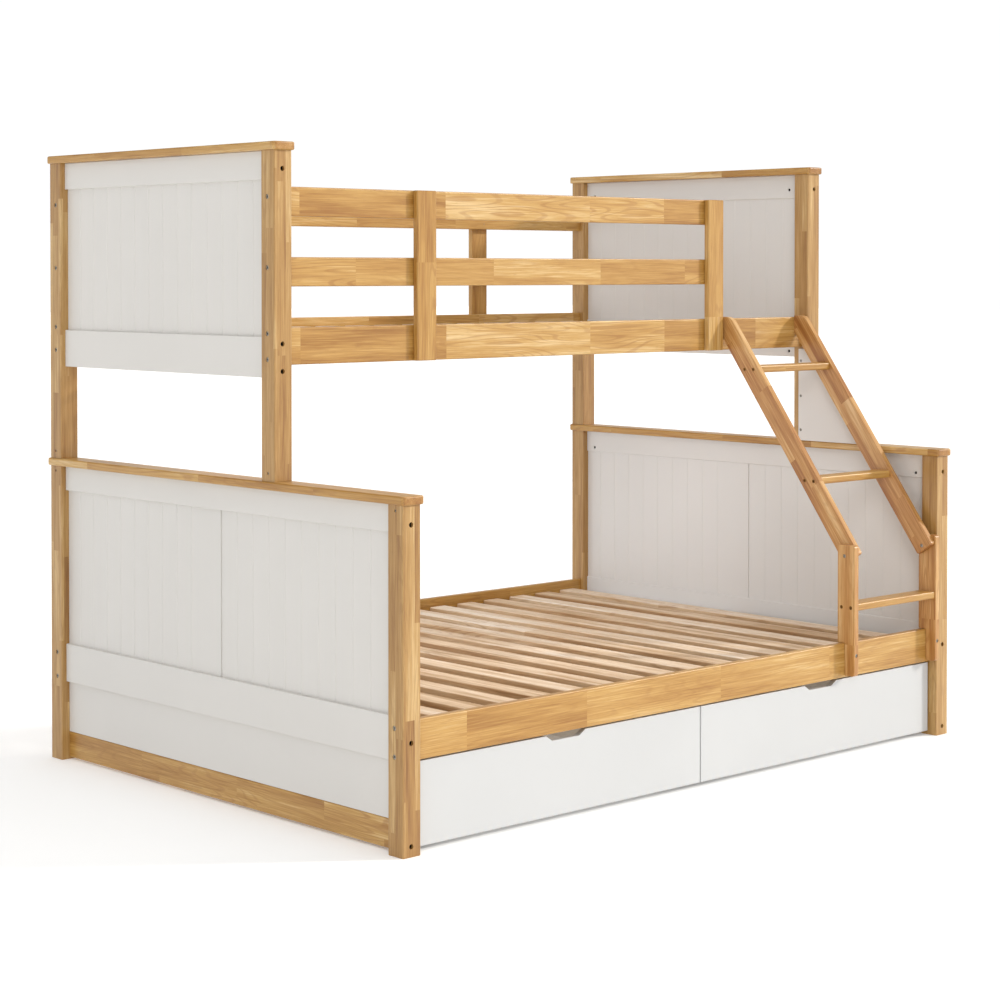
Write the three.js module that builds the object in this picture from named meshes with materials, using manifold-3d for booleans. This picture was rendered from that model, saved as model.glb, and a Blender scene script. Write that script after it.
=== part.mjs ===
// Single over double bunk bed with a slanted ladder and two drawers on wheels under the double bed.
// Millimetres, +Z up, front towards -Y. The origin is on the floor, in the middle of the footprint.
import * as THREE from "three";
import { mergeVertices } from "three/addons/utils/BufferGeometryUtils.js";
import Module from "manifold-3d";

const wasm = await Module();
wasm.setup();

// Posts and the overall frame
const LENGTH = 2010; // over the posts' outer faces, along X
const LOWER_WIDTH = 1445; // double bed, over the posts, along Y
const UPPER_WIDTH = 982; // single bed, over the posts, along Y
const POST_SIDE = 52;
const LOWER_POST_HEIGHT = 782;
const UPPER_POST_HEIGHT = 782;
const WOOD_EDGE_RADIUS = 3;
const FIT_GAP = 0.3; // round a sheet in its groove

// Caps over the ends
const CAP_THICKNESS = 20;
const CAP_SIDE_OVERHANG = 6;
const CAP_END_OVERHANG = 8;
const CAP_CORNER_RADIUS = 9;
const CAP_EDGE_RADIUS = 3;

// End panels: white rails, a beaded sheet, a skirt and a wooden bottom rail
const FRAME_RECESS = 14; // from the posts' outer faces
const FRAME_THICKNESS = 20;
const SHEET_RECESS = 23;
const SHEET_THICKNESS = 7;
const SHEET_SEAT = 6; // depth of the grooves that hold a sheet
const LOWER_TOP_RAIL_HEIGHT = 65;
const SKIRT_RAIL_HEIGHT = 101;
const BOTTOM_RAIL_HEIGHT = 68;
const BOTTOM_RAIL_THICKNESS = 20;
const BOTTOM_RAIL_LIFT = 6; // above the floor
const TONGUE_THICKNESS = 3; // the skirt's tongue in the bottom rail
const UPPER_TOP_RAIL_HEIGHT = 69;
const UPPER_BOTTOM_RAIL_HEIGHT = 97;
const UPPER_PANEL_LIFT = 244; // above the lower cap
const BEAD_PITCH = 63;
const BEAD_WIDTH = 3;
const BEAD_DEPTH = 1.5;
const BEAD_EDGE_MARGIN = 12; // plain stretch beside the posts
const SEAM_WIDTH = 7; // where the two sheets of a double bed's end meet
const SEAM_DEPTH = 3;
const SEAM_OFFSET = -16; // of the seam from the middle of the end

// Side rails, their ledgers, and the guard rails
const RAIL_THICKNESS = 20;
const LOWER_RAIL_BOTTOM = 208;
const LOWER_RAIL_HEIGHT = 92;
const LOWER_RAIL_SETBACK = 20; // behind the posts' faces
const UPPER_RAIL_LIFT = 274; // above the lower cap
const UPPER_RAIL_HEIGHT = 89;
const STILE_THICKNESS = 18; // fills the upper rails' setback, flush with the posts
const STILE_WIDTH = 64;
const STILE_INSET = 424; // from a post to a stile's middle, along X
const STILE_LADDER_GAP = 5; // from the front right stile to the ladder's left stringer
const GUARD_HEIGHT = 70;
const GUARD_GAP = 97;
const LEDGER_WIDTH = 20;
const LEDGER_HEIGHT = 30;
const LEDGER_END_GAP = 2;

// Slats
const SLAT_COUNT = 17;
const SLAT_WIDTH = 63;
const SLAT_THICKNESS = 18;
const SLAT_DROP = 26; // from a side rail's top to the slats' tops
const SLAT_END_MARGIN = 34.5; // from the posts to the first slat
const SLAT_SIDE_GAP = 2;
const TAPE_WIDTH = 25;
const TAPE_THICKNESS = 1.5;
const TAPE_SEAT = 0.5; // pressed into the slats
const TAPE_INSET = 70; // from the slats' ends

// Centre beam under the double bed
const BEAM_WIDTH = 40;
const BEAM_HEIGHT = 60;

// Bolt bores in the posts
const BORE_RADIUS = 6;
const BORE_DEPTH = 9;
const BORE_SIDES = 10;
const OVERCUT = 1; // of a cutter past the face that it opens
const SIDE_BOLT_INSET = 14; // inside a side rail's edges
const GUARD_BOLT_HEIGHT = 45; // above a guard rail's lower edge
const TOP_RAIL_BOLT_DROP = 44; // below a cap
const SKIRT_BOLT_HEIGHT = 46; // above the skirt rail's lower edge
const BOTTOM_RAIL_BOLT_HEIGHT = 18;
const PANEL_BOLT_INSET = 16; // inside the upper bottom rail's edges

// Ladder
const LADDER_INNER_WIDTH = 306; // between the stringers
const LADDER_BOARD_WIDTH = 58;
const LADDER_BOARD_THICKNESS = 18;
const LADDER_EDGE_RADIUS = 2;
const LADDER_POST_GAP = 6; // from the right leg to the posts
const HEAD_HEIGHT = 47; // stringer's vertical face on the side rail
const HEAD_RISE = 5; // of the stringer over the side rail
const HEAD_CORNER_RADIUS = 14;
const FOOT_CORNER_RADIUS = 6;
const FOOT_HEIGHT = 225; // middle of the stringer's foot over the lower side rail
const FOOT_SETBACK = 25; // of that middle from the leg's front face
const LEG_PROUD = 14; // in front of the posts
const LEG_RISE = 265; // of the legs over the lower side rail
const LEG_BOTTOM_RISE = 5; // of the legs' feet over the side rail's underside
const LEG_CORNER_RADIUS = 8;
const RUNG_DEPTH = 52;
const RUNG_THICKNESS = 20;
const RUNG_EDGE_RADIUS = 4;
const BOTTOM_RUNG_RISE = 108; // over the lower side rail
const MIDDLE_RUNG_RISE = 329; // over the bottom rung
const TOP_RUNG_DROP = 130; // under the upper side rail's top

// Gusset between the upper right front post and the lower cap
const GUSSET_THICKNESS = 12;
const GUSSET_INSET = 27; // from the post's back face
const GUSSET_BASE = 243;
const GUSSET_TOP = 63;
const GUSSET_NOSE = 20;
const GUSSET_RAIL_GAP = 5;

// Drawers
const DRAWER_SIDE_GAP = 5;
const DRAWER_MIDDLE_GAP = 4;
const DRAWER_TOP_GAP = 4; // under the side rail
const DRAWER_FLOOR_GAP = 12;
const DRAWER_SETBACK = 25; // behind the posts' front faces
const FRONT_THICKNESS = 16;
const FRONT_EDGE_RADIUS = 1.5;
const NOTCH_TOP = 132;
const NOTCH_BOTTOM = 90;
const NOTCH_DEPTH = 13;
const BOX_DEPTH = 620;
const BOX_INSET = 15; // of the box's sides from the front's ends
const BOX_TOP_DROP = 28; // under the front's top edge
const BOX_WALL = 12;
const BOX_FLOOR = 9;

// Drawer wheels and their brackets
const WHEEL_RADIUS = 22;
const WHEEL_WIDTH = 18;
const WHEEL_TREAD_RADIUS = 3;
const WHEEL_HUB_RADIUS = 9;
const WHEEL_WEB = 8;
const WHEEL_RIM = 5; // radial thickness
const WHEEL_SEGMENTS = 16;
const WHEEL_TOP_GAP = 3; // between a wheel and its bracket's plate
const AXLE_RADIUS = 4;
const AXLE_GAP = 0.4;
const BRACKET_SHEET = 3;
const BRACKET_LENGTH = 30;
const BRACKET_END_RADIUS = 10;
const PLATE_SEAT = 1; // the bracket's plate is let into the box
const BRACKET_SIDE_GAP = 1.5; // between a wheel and its bracket
const WHEEL_SIDE_INSET = 50; // from the box's side to the wheel's middle
const WHEEL_END_INSET = 60;

// Finishes
const LACQUERED_WOOD = { color: 0xd4a870, roughness: 0.45, metalness: 0 };
const BARE_SLATS = { color: 0xdcc09c, roughness: 0.6, metalness: 0 };
const WHITE_PAINT = { color: 0xe4e1dc, roughness: 0.5, metalness: 0 };
const DRAWER_PAINT = { color: 0xecebe8, roughness: 0.4, metalness: 0 };
const DRAWER_BOARD = { color: 0xe4e0d8, roughness: 0.55, metalness: 0 };
const WHEEL_PLASTIC = { color: 0x2b2b2d, roughness: 0.7, metalness: 0 };

// Fineness of the curves
const EDGE_SEGMENTS = 2; // on each rounded edge or corner
const MERGE_DISTANCE = 1e-4;
const STRAIGHT_ANGLE = 0.01; // radians; a flatter corner stays sharp

// Heights and planes that follow from the sizes
const LOWER_FRONT = -LOWER_WIDTH / 2;
const LOWER_BACK = LOWER_WIDTH / 2;
const UPPER_FRONT = LOWER_BACK - UPPER_WIDTH;
const CLEAR_HALF_LENGTH = LENGTH / 2 - POST_SIDE;
const LOWER_CAP_TOP = LOWER_POST_HEIGHT + CAP_THICKNESS;
const UPPER_POST_TOP = LOWER_CAP_TOP + UPPER_POST_HEIGHT;
const SKIRT_BOTTOM = BOTTOM_RAIL_LIFT + BOTTOM_RAIL_HEIGHT;
const LOWER_RAIL_TOP = LOWER_RAIL_BOTTOM + LOWER_RAIL_HEIGHT;
const UPPER_RAIL_BOTTOM = LOWER_CAP_TOP + UPPER_RAIL_LIFT;
const UPPER_RAIL_TOP = UPPER_RAIL_BOTTOM + UPPER_RAIL_HEIGHT;
const UPPER_RAIL_SETBACK = STILE_THICKNESS;
const MIDDLE_GUARD_BOTTOM = UPPER_RAIL_TOP + GUARD_GAP;
const TOP_GUARD_BOTTOM = MIDDLE_GUARD_BOTTOM + GUARD_HEIGHT + GUARD_GAP;
const TOP_GUARD_TOP = TOP_GUARD_BOTTOM + GUARD_HEIGHT;
const UPPER_PANEL_BOTTOM = LOWER_CAP_TOP + UPPER_PANEL_LIFT;
const FRAME_OFFSET = POST_SIDE / 2 - FRAME_RECESS - FRAME_THICKNESS / 2; // outwards of the posts' middle
const SHEET_OFFSET = POST_SIDE / 2 - SHEET_RECESS - SHEET_THICKNESS / 2;
const LEDGER_DROP = SLAT_DROP + SLAT_THICKNESS;
const LADDER_LEG_X = (LADDER_INNER_WIDTH + LADDER_BOARD_THICKNESS) / 2 + LADDER_BOARD_THICKNESS;
const LADDER_X = CLEAR_HALF_LENGTH - LADDER_POST_GAP - LADDER_LEG_X - LADDER_BOARD_THICKNESS / 2;
const ENTRY_X = LADDER_X - LADDER_LEG_X + LADDER_BOARD_THICKNESS / 2 - STILE_LADDER_GAP;
const BOX_BOTTOM = 2 * WHEEL_RADIUS + WHEEL_TOP_GAP + BRACKET_SHEET;

// Solids are joined and cut with these; a geometry's shared vertices are merged first.
function toSolid(geometry) {
  const bare = geometry.clone();
  bare.deleteAttribute("normal");
  bare.deleteAttribute("uv");
  const merged = mergeVertices(bare, MERGE_DISTANCE);
  const mesh = new wasm.Mesh({
    numProp: 3,
    vertProperties: new Float32Array(merged.attributes.position.array),
    triVerts: new Uint32Array(merged.index.array),
  });
  return new wasm.Manifold(mesh);
}

function toGeometry(solid) {
  const mesh = solid.getMesh();
  const geometry = new THREE.BufferGeometry();
  geometry.setAttribute("position", new THREE.BufferAttribute(mesh.vertProperties, 3));
  geometry.setIndex(new THREE.BufferAttribute(mesh.triVerts, 1));
  geometry.computeVertexNormals();
  return geometry;
}

function join(geometries) {
  const solids = geometries.map(toSolid);
  return toGeometry(solids.reduce((sum, next) => sum.add(next)));
}

function cut(geometry, cutters) {
  const solids = cutters.map(toSolid);
  return toGeometry(solids.reduce((rest, next) => rest.subtract(next), toSolid(geometry)));
}

// A profile is drawn in the plane across its length: (y, z) along X, (x, z) along Y and (x, y) along Z.
const PROFILE_BASES = {
  x: [new THREE.Vector3(0, 1, 0), new THREE.Vector3(0, 0, 1), new THREE.Vector3(1, 0, 0)],
  y: [new THREE.Vector3(1, 0, 0), new THREE.Vector3(0, 0, 1), new THREE.Vector3(0, -1, 0)],
  z: [new THREE.Vector3(1, 0, 0), new THREE.Vector3(0, 1, 0), new THREE.Vector3(0, 0, 1)],
};

// Extrudes a profile along an axis, centred on that axis' zero, with its end edges rounded by edgeRadius.
function extrudeAlong(axis, shape, length, edgeRadius = 0) {
  const geometry = new THREE.ExtrudeGeometry(shape, {
    depth: length - 2 * edgeRadius,
    bevelEnabled: edgeRadius > 0,
    bevelThickness: edgeRadius,
    bevelSize: edgeRadius,
    bevelOffset: -edgeRadius,
    bevelSegments: EDGE_SEGMENTS,
    curveSegments: EDGE_SEGMENTS,
  });
  geometry.translate(0, 0, edgeRadius - length / 2);
  const turn = new THREE.Matrix4().makeBasis(...PROFILE_BASES[axis]);
  return geometry.applyMatrix4(turn);
}

function roundedRectangle(width, height, radius) {
  const shape = new THREE.Shape();
  const x = width / 2 - radius;
  const y = height / 2 - radius;
  shape.absarc(x, y, radius, 0, Math.PI / 2, false);
  shape.absarc(-x, y, radius, Math.PI / 2, Math.PI, false);
  shape.absarc(-x, -y, radius, Math.PI, 1.5 * Math.PI, false);
  shape.absarc(x, -y, radius, 1.5 * Math.PI, 2 * Math.PI, false);
  shape.closePath();
  return shape;
}

// A straight bar along one axis, with its long edges rounded, centred on the origin.
function bar(axis, sizeX, sizeY, sizeZ, radius = WOOD_EDGE_RADIUS) {
  const sections = {
    x: [sizeY, sizeZ, sizeX],
    y: [sizeX, sizeZ, sizeY],
    z: [sizeX, sizeY, sizeZ],
  };
  const [across, up, length] = sections[axis];
  return extrudeAlong(axis, roundedRectangle(across, up, radius), length);
}

function polygon(points) {
  return new THREE.Shape(points.map(([x, y]) => new THREE.Vector2(x, y)));
}

// Corners given as [x, y, radius]; each corner with a radius becomes a true arc between its two edges.
function roundedPolygon(corners) {
  const shape = new THREE.Shape();
  corners.forEach(([x, y, radius = 0], index) => {
    const before = corners[(index + corners.length - 1) % corners.length];
    const after = corners[(index + 1) % corners.length];
    const corner = new THREE.Vector2(x, y);
    const toBefore = new THREE.Vector2(before[0], before[1]).sub(corner).normalize();
    const toAfter = new THREE.Vector2(after[0], after[1]).sub(corner).normalize();
    const half = Math.acos(THREE.MathUtils.clamp(toBefore.dot(toAfter), -1, 1)) / 2;
    if (radius === 0 || Math.PI / 2 - half < STRAIGHT_ANGLE) {
      if (index === 0) shape.moveTo(x, y);
      else shape.lineTo(x, y);
      return;
    }
    const middle = toBefore.clone().add(toAfter).normalize();
    const centre = corner.clone().addScaledVector(middle, radius / Math.sin(half));
    const start = corner.clone().addScaledVector(toBefore, radius / Math.tan(half));
    const end = corner.clone().addScaledVector(toAfter, radius / Math.tan(half));
    const startAngle = Math.atan2(start.y - centre.y, start.x - centre.x);
    const endAngle = Math.atan2(end.y - centre.y, end.x - centre.x);
    const clockwise = toBefore.cross(toAfter) > 0;
    if (index === 0) shape.moveTo(start.x, start.y);
    shape.absarc(centre.x, centre.y, radius, startAngle, endAngle, clockwise);
  });
  shape.closePath();
  return shape;
}

function box(sizeX, sizeY, sizeZ, x = 0, y = 0, z = 0) {
  return new THREE.BoxGeometry(sizeX, sizeY, sizeZ).translate(x, y, z);
}

// A cylinder along X or Y, from one point on its axis towards the positive end.
function rod(axis, radius, length, x, y, z, sides = BORE_SIDES) {
  const geometry = new THREE.CylinderGeometry(radius, radius, length, sides);
  if (axis === "x") geometry.rotateZ(-Math.PI / 2).translate(length / 2, 0, 0);
  else geometry.translate(0, length / 2, 0);
  return geometry.translate(x, y, z);
}

function piece(name, geometry, finish, x = 0, y = 0, z = 0) {
  const mesh = new THREE.Mesh(geometry, new THREE.MeshStandardMaterial(finish));
  mesh.name = name;
  mesh.position.set(x, y, z);
  return mesh;
}

function wood(name, geometry, x, y, z) {
  return piece(name, geometry, LACQUERED_WOOD, x, y, z);
}

function white(name, geometry, x, y, z) {
  return piece(name, geometry, WHITE_PAINT, x, y, z);
}

function group(...children) {
  const made = new THREE.Group();
  made.add(...children);
  return made;
}

// Posts

// A blind bore from a post's face inwards. side is +1 or -1 along the axis.
function faceBore(axis, side, across, height) {
  const length = BORE_DEPTH + OVERCUT;
  const start = side > 0 ? POST_SIDE / 2 - BORE_DEPTH : -POST_SIDE / 2 - OVERCUT;
  if (axis === "x") return rod("x", BORE_RADIUS, length, start, across, height);
  return rod("y", BORE_RADIUS, length, across, start, height);
}

// A post standing on z = 0 of its own frame. railBores are heights on its outer face, panelBores on the
// face away from the end panel. endSide is -1 at the left end, faceSide is -1 at the front.
function post(name, height, endSide, faceSide, railAcross, railBores, panelBores) {
  const body = bar("z", POST_SIDE, POST_SIDE, height).translate(0, 0, height / 2);
  const across = railAcross * -faceSide;
  const cutters = [
    ...railBores.map((z) => faceBore("x", endSide, across, z)),
    ...panelBores.map((z) => faceBore("y", faceSide, endSide * FRAME_OFFSET, z)),
  ];
  return wood(name, cut(body, cutters));
}

// How far a rail's middle lies inwards of its post's middle, along Y.
function railInset(setback) {
  return setback + RAIL_THICKNESS / 2 - POST_SIDE / 2;
}

function lowerPost(name, endSide, faceSide) {
  const railBores = [LOWER_RAIL_BOTTOM + SIDE_BOLT_INSET, LOWER_RAIL_TOP - SIDE_BOLT_INSET];
  const panelBores = [
    BOTTOM_RAIL_LIFT + BOTTOM_RAIL_BOLT_HEIGHT,
    LOWER_RAIL_BOTTOM + SKIRT_BOLT_HEIGHT,
    LOWER_POST_HEIGHT - TOP_RAIL_BOLT_DROP,
  ];
  const inset = railInset(LOWER_RAIL_SETBACK);
  return post(name, LOWER_POST_HEIGHT, endSide, faceSide, inset, railBores, panelBores);
}

function upperPost(name, endSide, faceSide) {
  const railBores = [
    UPPER_RAIL_BOTTOM + SIDE_BOLT_INSET,
    UPPER_RAIL_TOP - SIDE_BOLT_INSET,
    MIDDLE_GUARD_BOTTOM + GUARD_BOLT_HEIGHT,
    TOP_GUARD_BOTTOM + GUARD_BOLT_HEIGHT,
  ].map((z) => z - LOWER_CAP_TOP);
  const panelBores = [
    UPPER_PANEL_BOTTOM + PANEL_BOLT_INSET,
    UPPER_PANEL_BOTTOM + UPPER_BOTTOM_RAIL_HEIGHT - PANEL_BOLT_INSET,
    UPPER_POST_TOP - TOP_RAIL_BOLT_DROP,
  ].map((z) => z - LOWER_CAP_TOP);
  const inset = railInset(UPPER_RAIL_SETBACK);
  return post(name, UPPER_POST_HEIGHT, endSide, faceSide, inset, railBores, panelBores);
}

// End panels

function cap(name, width) {
  const sizeX = POST_SIDE + 2 * CAP_SIDE_OVERHANG;
  const sizeY = width + 2 * CAP_END_OVERHANG;
  const outline = roundedRectangle(sizeX, sizeY, CAP_CORNER_RADIUS);
  return wood(name, extrudeAlong("z", outline, CAP_THICKNESS, CAP_EDGE_RADIUS));
}

// End sections are drawn for the right end, whose outer side is +X, and mirrored for the left end.
function facing(outward, corners) {
  return corners.map(([x, z, radius]) => [outward * x, z, radius]);
}

// A white rail's section with a sheet groove in its lower or upper edge, standing on z = 0.
function groovedSection(height, grooveAtTop) {
  const half = FRAME_THICKNESS / 2;
  const inner = SHEET_OFFSET - FRAME_OFFSET - SHEET_THICKNESS / 2 - FIT_GAP;
  const outer = SHEET_OFFSET - FRAME_OFFSET + SHEET_THICKNESS / 2 + FIT_GAP;
  const floor = height - SHEET_SEAT;
  const lowerGroove = [[inner, 0], [inner, SHEET_SEAT], [outer, SHEET_SEAT], [outer, 0]];
  const upperGroove = [[outer, height], [outer, floor], [inner, floor], [inner, height]];
  return [
    [-half, 0],
    ...(grooveAtTop ? [] : lowerGroove),
    [half, 0],
    [half, height],
    ...(grooveAtTop ? upperGroove : []),
    [-half, height],
  ];
}

function groovedRail(name, height, length, outward, grooveAtTop) {
  const section = roundedPolygon(facing(outward, groovedSection(height, grooveAtTop)));
  return white(name, extrudeAlong("y", section, length));
}

// The skirt is one routed board: a grooved rail on top, a thinner panel below and a tongue along the
// panel's inner face. Its own z = 0 is the underside of the rail part.
function skirt(name, length, outward) {
  const rail = groovedSection(SKIRT_RAIL_HEIGHT, true);
  const inner = SHEET_OFFSET - FRAME_OFFSET - SHEET_THICKNESS / 2;
  const outer = inner + SHEET_THICKNESS;
  const panelBottom = SKIRT_BOTTOM - LOWER_RAIL_BOTTOM;
  const tongueBottom = panelBottom - SHEET_SEAT + FIT_GAP;
  const panel = [
    [inner, 0],
    [inner, tongueBottom],
    [inner + TONGUE_THICKNESS, tongueBottom],
    [inner + TONGUE_THICKNESS, panelBottom],
    [outer, panelBottom],
    [outer, 0],
  ];
  const section = roundedPolygon(facing(outward, [rail[0], ...panel, ...rail.slice(1)]));
  return white(name, extrudeAlong("y", section, length));
}

// The bottom rail's outer face is flush with the skirt's panel, and its groove takes the tongue. Its
// own x = 0 is the posts' middle.
function bottomRail(name, length, outward) {
  const outer = POST_SIDE / 2 - SHEET_RECESS;
  const inner = outer - BOTTOM_RAIL_THICKNESS;
  const grooveInner = outer - SHEET_THICKNESS - FIT_GAP;
  const grooveOuter = outer - SHEET_THICKNESS + TONGUE_THICKNESS + FIT_GAP;
  const grooveFloor = BOTTOM_RAIL_HEIGHT - SHEET_SEAT;
  const corners = [
    [inner, 0, WOOD_EDGE_RADIUS],
    [outer, 0, WOOD_EDGE_RADIUS],
    [outer, BOTTOM_RAIL_HEIGHT],
    [grooveOuter, BOTTOM_RAIL_HEIGHT],
    [grooveOuter, grooveFloor],
    [grooveInner, grooveFloor],
    [grooveInner, BOTTOM_RAIL_HEIGHT],
    [inner, BOTTOM_RAIL_HEIGHT],
  ];
  const section = roundedPolygon(facing(outward, corners));
  return wood(name, extrudeAlong("y", section, length));
}

// A sheet with a V groove on both faces at each multiple of the bead pitch from its middle. A jointed
// sheet is two halves edge to edge, so its middle groove is wider and deeper.
function beadboard(name, width, height, jointed) {
  const half = SHEET_THICKNESS / 2;
  const reach = width / 2 - BEAD_EDGE_MARGIN;
  const offset = jointed ? SEAM_OFFSET : 0;
  const first = Math.ceil((-reach - offset) / BEAD_PITCH);
  const last = Math.floor((reach - offset) / BEAD_PITCH);
  const edge = [];
  for (let index = first; index <= last; index += 1) {
    if (jointed && index === 1) continue; // the plain stretch behind the seam
    const y = offset + index * BEAD_PITCH;
    const seam = jointed && index === 0;
    const halfWidth = (seam ? SEAM_WIDTH : BEAD_WIDTH) / 2;
    const depth = seam ? SEAM_DEPTH : BEAD_DEPTH;
    edge.push([half, y - halfWidth], [half - depth, y], [half, y + halfWidth]);
  }
  const back = edge.map(([x, y]) => [-x, y]).reverse();
  const corners = [
    [half, -width / 2],
    ...edge,
    [half, width / 2],
    [-half, width / 2],
    ...back,
    [-half, -width / 2],
  ];
  return white(name, extrudeAlong("z", polygon(corners), height).translate(0, 0, height / 2));
}

function at(object, x, y, z) {
  object.position.set(x, y, z);
  return object;
}

function lowerEnd(label, endSide) {
  const postX = (endSide * (LENGTH - POST_SIDE)) / 2;
  const postY = (LOWER_WIDTH - POST_SIDE) / 2;
  const frameX = postX + endSide * FRAME_OFFSET;
  const sheetX = postX + endSide * SHEET_OFFSET;
  const span = LOWER_WIDTH - 2 * POST_SIDE;
  const topRailZ = LOWER_POST_HEIGHT - LOWER_TOP_RAIL_HEIGHT;
  const sheetZ = LOWER_RAIL_BOTTOM + SKIRT_RAIL_HEIGHT - SHEET_SEAT;
  const sheetHeight = topRailZ + SHEET_SEAT - FIT_GAP - sheetZ;
  const name = (part) => `lower_${label}_${part}`;
  return group(
    at(lowerPost(name("front_post"), endSide, -1), postX, -postY, 0),
    at(lowerPost(name("back_post"), endSide, 1), postX, postY, 0),
    at(cap(name("cap"), LOWER_WIDTH), postX, 0, LOWER_POST_HEIGHT + CAP_THICKNESS / 2),
    at(groovedRail(name("top_rail"), LOWER_TOP_RAIL_HEIGHT, span, endSide, false), frameX, 0, topRailZ),
    at(beadboard(name("beadboard"), span - 2 * FIT_GAP, sheetHeight, true), sheetX, 0, sheetZ),
    at(skirt(name("skirt"), span, endSide), frameX, 0, LOWER_RAIL_BOTTOM),
    at(bottomRail(name("bottom_rail"), span, endSide), postX, 0, BOTTOM_RAIL_LIFT),
  );
}

function upperEnd(label, endSide) {
  const postX = (endSide * (LENGTH - POST_SIDE)) / 2;
  const postY = (UPPER_WIDTH - POST_SIDE) / 2;
  const frameX = postX + endSide * FRAME_OFFSET;
  const sheetX = postX + endSide * SHEET_OFFSET;
  const span = UPPER_WIDTH - 2 * POST_SIDE;
  const topRailZ = UPPER_POST_TOP - UPPER_TOP_RAIL_HEIGHT;
  const sheetZ = UPPER_PANEL_BOTTOM + UPPER_BOTTOM_RAIL_HEIGHT - SHEET_SEAT;
  const sheetHeight = topRailZ + SHEET_SEAT - FIT_GAP - sheetZ;
  const name = (part) => `upper_${label}_${part}`;
  const railHeight = UPPER_BOTTOM_RAIL_HEIGHT;
  return group(
    at(upperPost(name("front_post"), endSide, -1), postX, -postY, LOWER_CAP_TOP),
    at(upperPost(name("back_post"), endSide, 1), postX, postY, LOWER_CAP_TOP),
    at(cap(name("cap"), UPPER_WIDTH), postX, 0, UPPER_POST_TOP + CAP_THICKNESS / 2),
    at(groovedRail(name("top_rail"), UPPER_TOP_RAIL_HEIGHT, span, endSide, false), frameX, 0, topRailZ),
    at(beadboard(name("beadboard"), span - 2 * FIT_GAP, sheetHeight, false), sheetX, 0, sheetZ),
    at(groovedRail(name("bottom_rail"), railHeight, span, endSide, true), frameX, 0, UPPER_PANEL_BOTTOM),
  );
}

// Side rails, slats and the centre beam

// A side rail with its ledger, along X. inward is the sign of the bed's inside along Y, and the rail's
// own z = 0 is its underside.
function sideRail(name, height, inward) {
  const length = 2 * CLEAR_HALF_LENGTH;
  const board = bar("x", length, RAIL_THICKNESS, height).translate(0, 0, height / 2);
  const overlap = RAIL_THICKNESS / 2; // the ledger is let into the rail
  const ledgerY = inward * (RAIL_THICKNESS / 2 + (LEDGER_WIDTH - overlap) / 2);
  const ledgerZ = height - LEDGER_DROP - LEDGER_HEIGHT / 2;
  const ledgerLength = length - 2 * LEDGER_END_GAP;
  const ledger = box(ledgerLength, LEDGER_WIDTH + overlap, LEDGER_HEIGHT, 0, ledgerY, ledgerZ);
  return wood(name, join([board, ledger]));
}

// Slats across a bed, joined by two tapes stapled underneath. z = 0 is the slats' underside.
function slatMat(name, clearWidth) {
  const length = clearWidth - 2 * SLAT_SIDE_GAP;
  const firstX = -CLEAR_HALF_LENGTH + SLAT_END_MARGIN + SLAT_WIDTH / 2;
  const pitch = (-2 * firstX) / (SLAT_COUNT - 1);
  const parts = [];
  for (let index = 0; index < SLAT_COUNT; index += 1) {
    const x = firstX + index * pitch;
    parts.push(box(SLAT_WIDTH, length, SLAT_THICKNESS, x, 0, SLAT_THICKNESS / 2));
  }
  const tapeLength = SLAT_WIDTH - 2 * firstX;
  for (const side of [-1, 1]) {
    const y = side * (length / 2 - TAPE_INSET);
    const z = TAPE_SEAT - (TAPE_THICKNESS + TAPE_SEAT) / 2;
    parts.push(box(tapeLength, TAPE_WIDTH, TAPE_THICKNESS + TAPE_SEAT, 0, y, z));
  }
  return piece(name, join(parts), BARE_SLATS);
}

function centreBeam() {
  const slatBottom = LOWER_RAIL_TOP - LEDGER_DROP;
  const inner = LENGTH / 2 - FRAME_RECESS - FRAME_THICKNESS;
  const beamZ = slatBottom - BEAM_HEIGHT / 2;
  const beam = bar("x", 2 * inner, BEAM_WIDTH, BEAM_HEIGHT).translate(0, 0, beamZ);
  const legTop = beamZ;
  const leg = bar("z", BEAM_WIDTH, BEAM_WIDTH, legTop).translate(0, 0, legTop / 2);
  return wood("centre_beam", join([beam, leg]));
}

function lowerDeck() {
  const railY = LOWER_WIDTH / 2 - LOWER_RAIL_SETBACK - RAIL_THICKNESS / 2;
  const clearWidth = 2 * railY - RAIL_THICKNESS;
  return group(
    at(sideRail("lower_front_side_rail", LOWER_RAIL_HEIGHT, 1), 0, -railY, LOWER_RAIL_BOTTOM),
    at(sideRail("lower_back_side_rail", LOWER_RAIL_HEIGHT, -1), 0, railY, LOWER_RAIL_BOTTOM),
    at(slatMat("lower_slats", clearWidth), 0, 0, LOWER_RAIL_TOP - LEDGER_DROP),
    centreBeam(),
  );
}

function upperDeck() {
  const railY = UPPER_WIDTH / 2 - UPPER_RAIL_SETBACK - RAIL_THICKNESS / 2;
  const clearWidth = 2 * railY - RAIL_THICKNESS;
  return group(
    at(sideRail("upper_front_side_rail", UPPER_RAIL_HEIGHT, 1), 0, -railY, UPPER_RAIL_BOTTOM),
    at(sideRail("upper_back_side_rail", UPPER_RAIL_HEIGHT, -1), 0, railY, UPPER_RAIL_BOTTOM),
    at(slatMat("upper_slats", clearWidth), 0, 0, UPPER_RAIL_TOP - LEDGER_DROP),
  );
}

// Guard rails round the upper bed

// A guard rail from the left posts to endX.
function guard(name, y, bottom, endX) {
  const length = endX + CLEAR_HALF_LENGTH;
  const middleX = endX - length / 2;
  const geometry = bar("x", length, RAIL_THICKNESS, GUARD_HEIGHT);
  return wood(name, geometry, middleX, y, bottom + GUARD_HEIGHT / 2);
}

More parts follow.
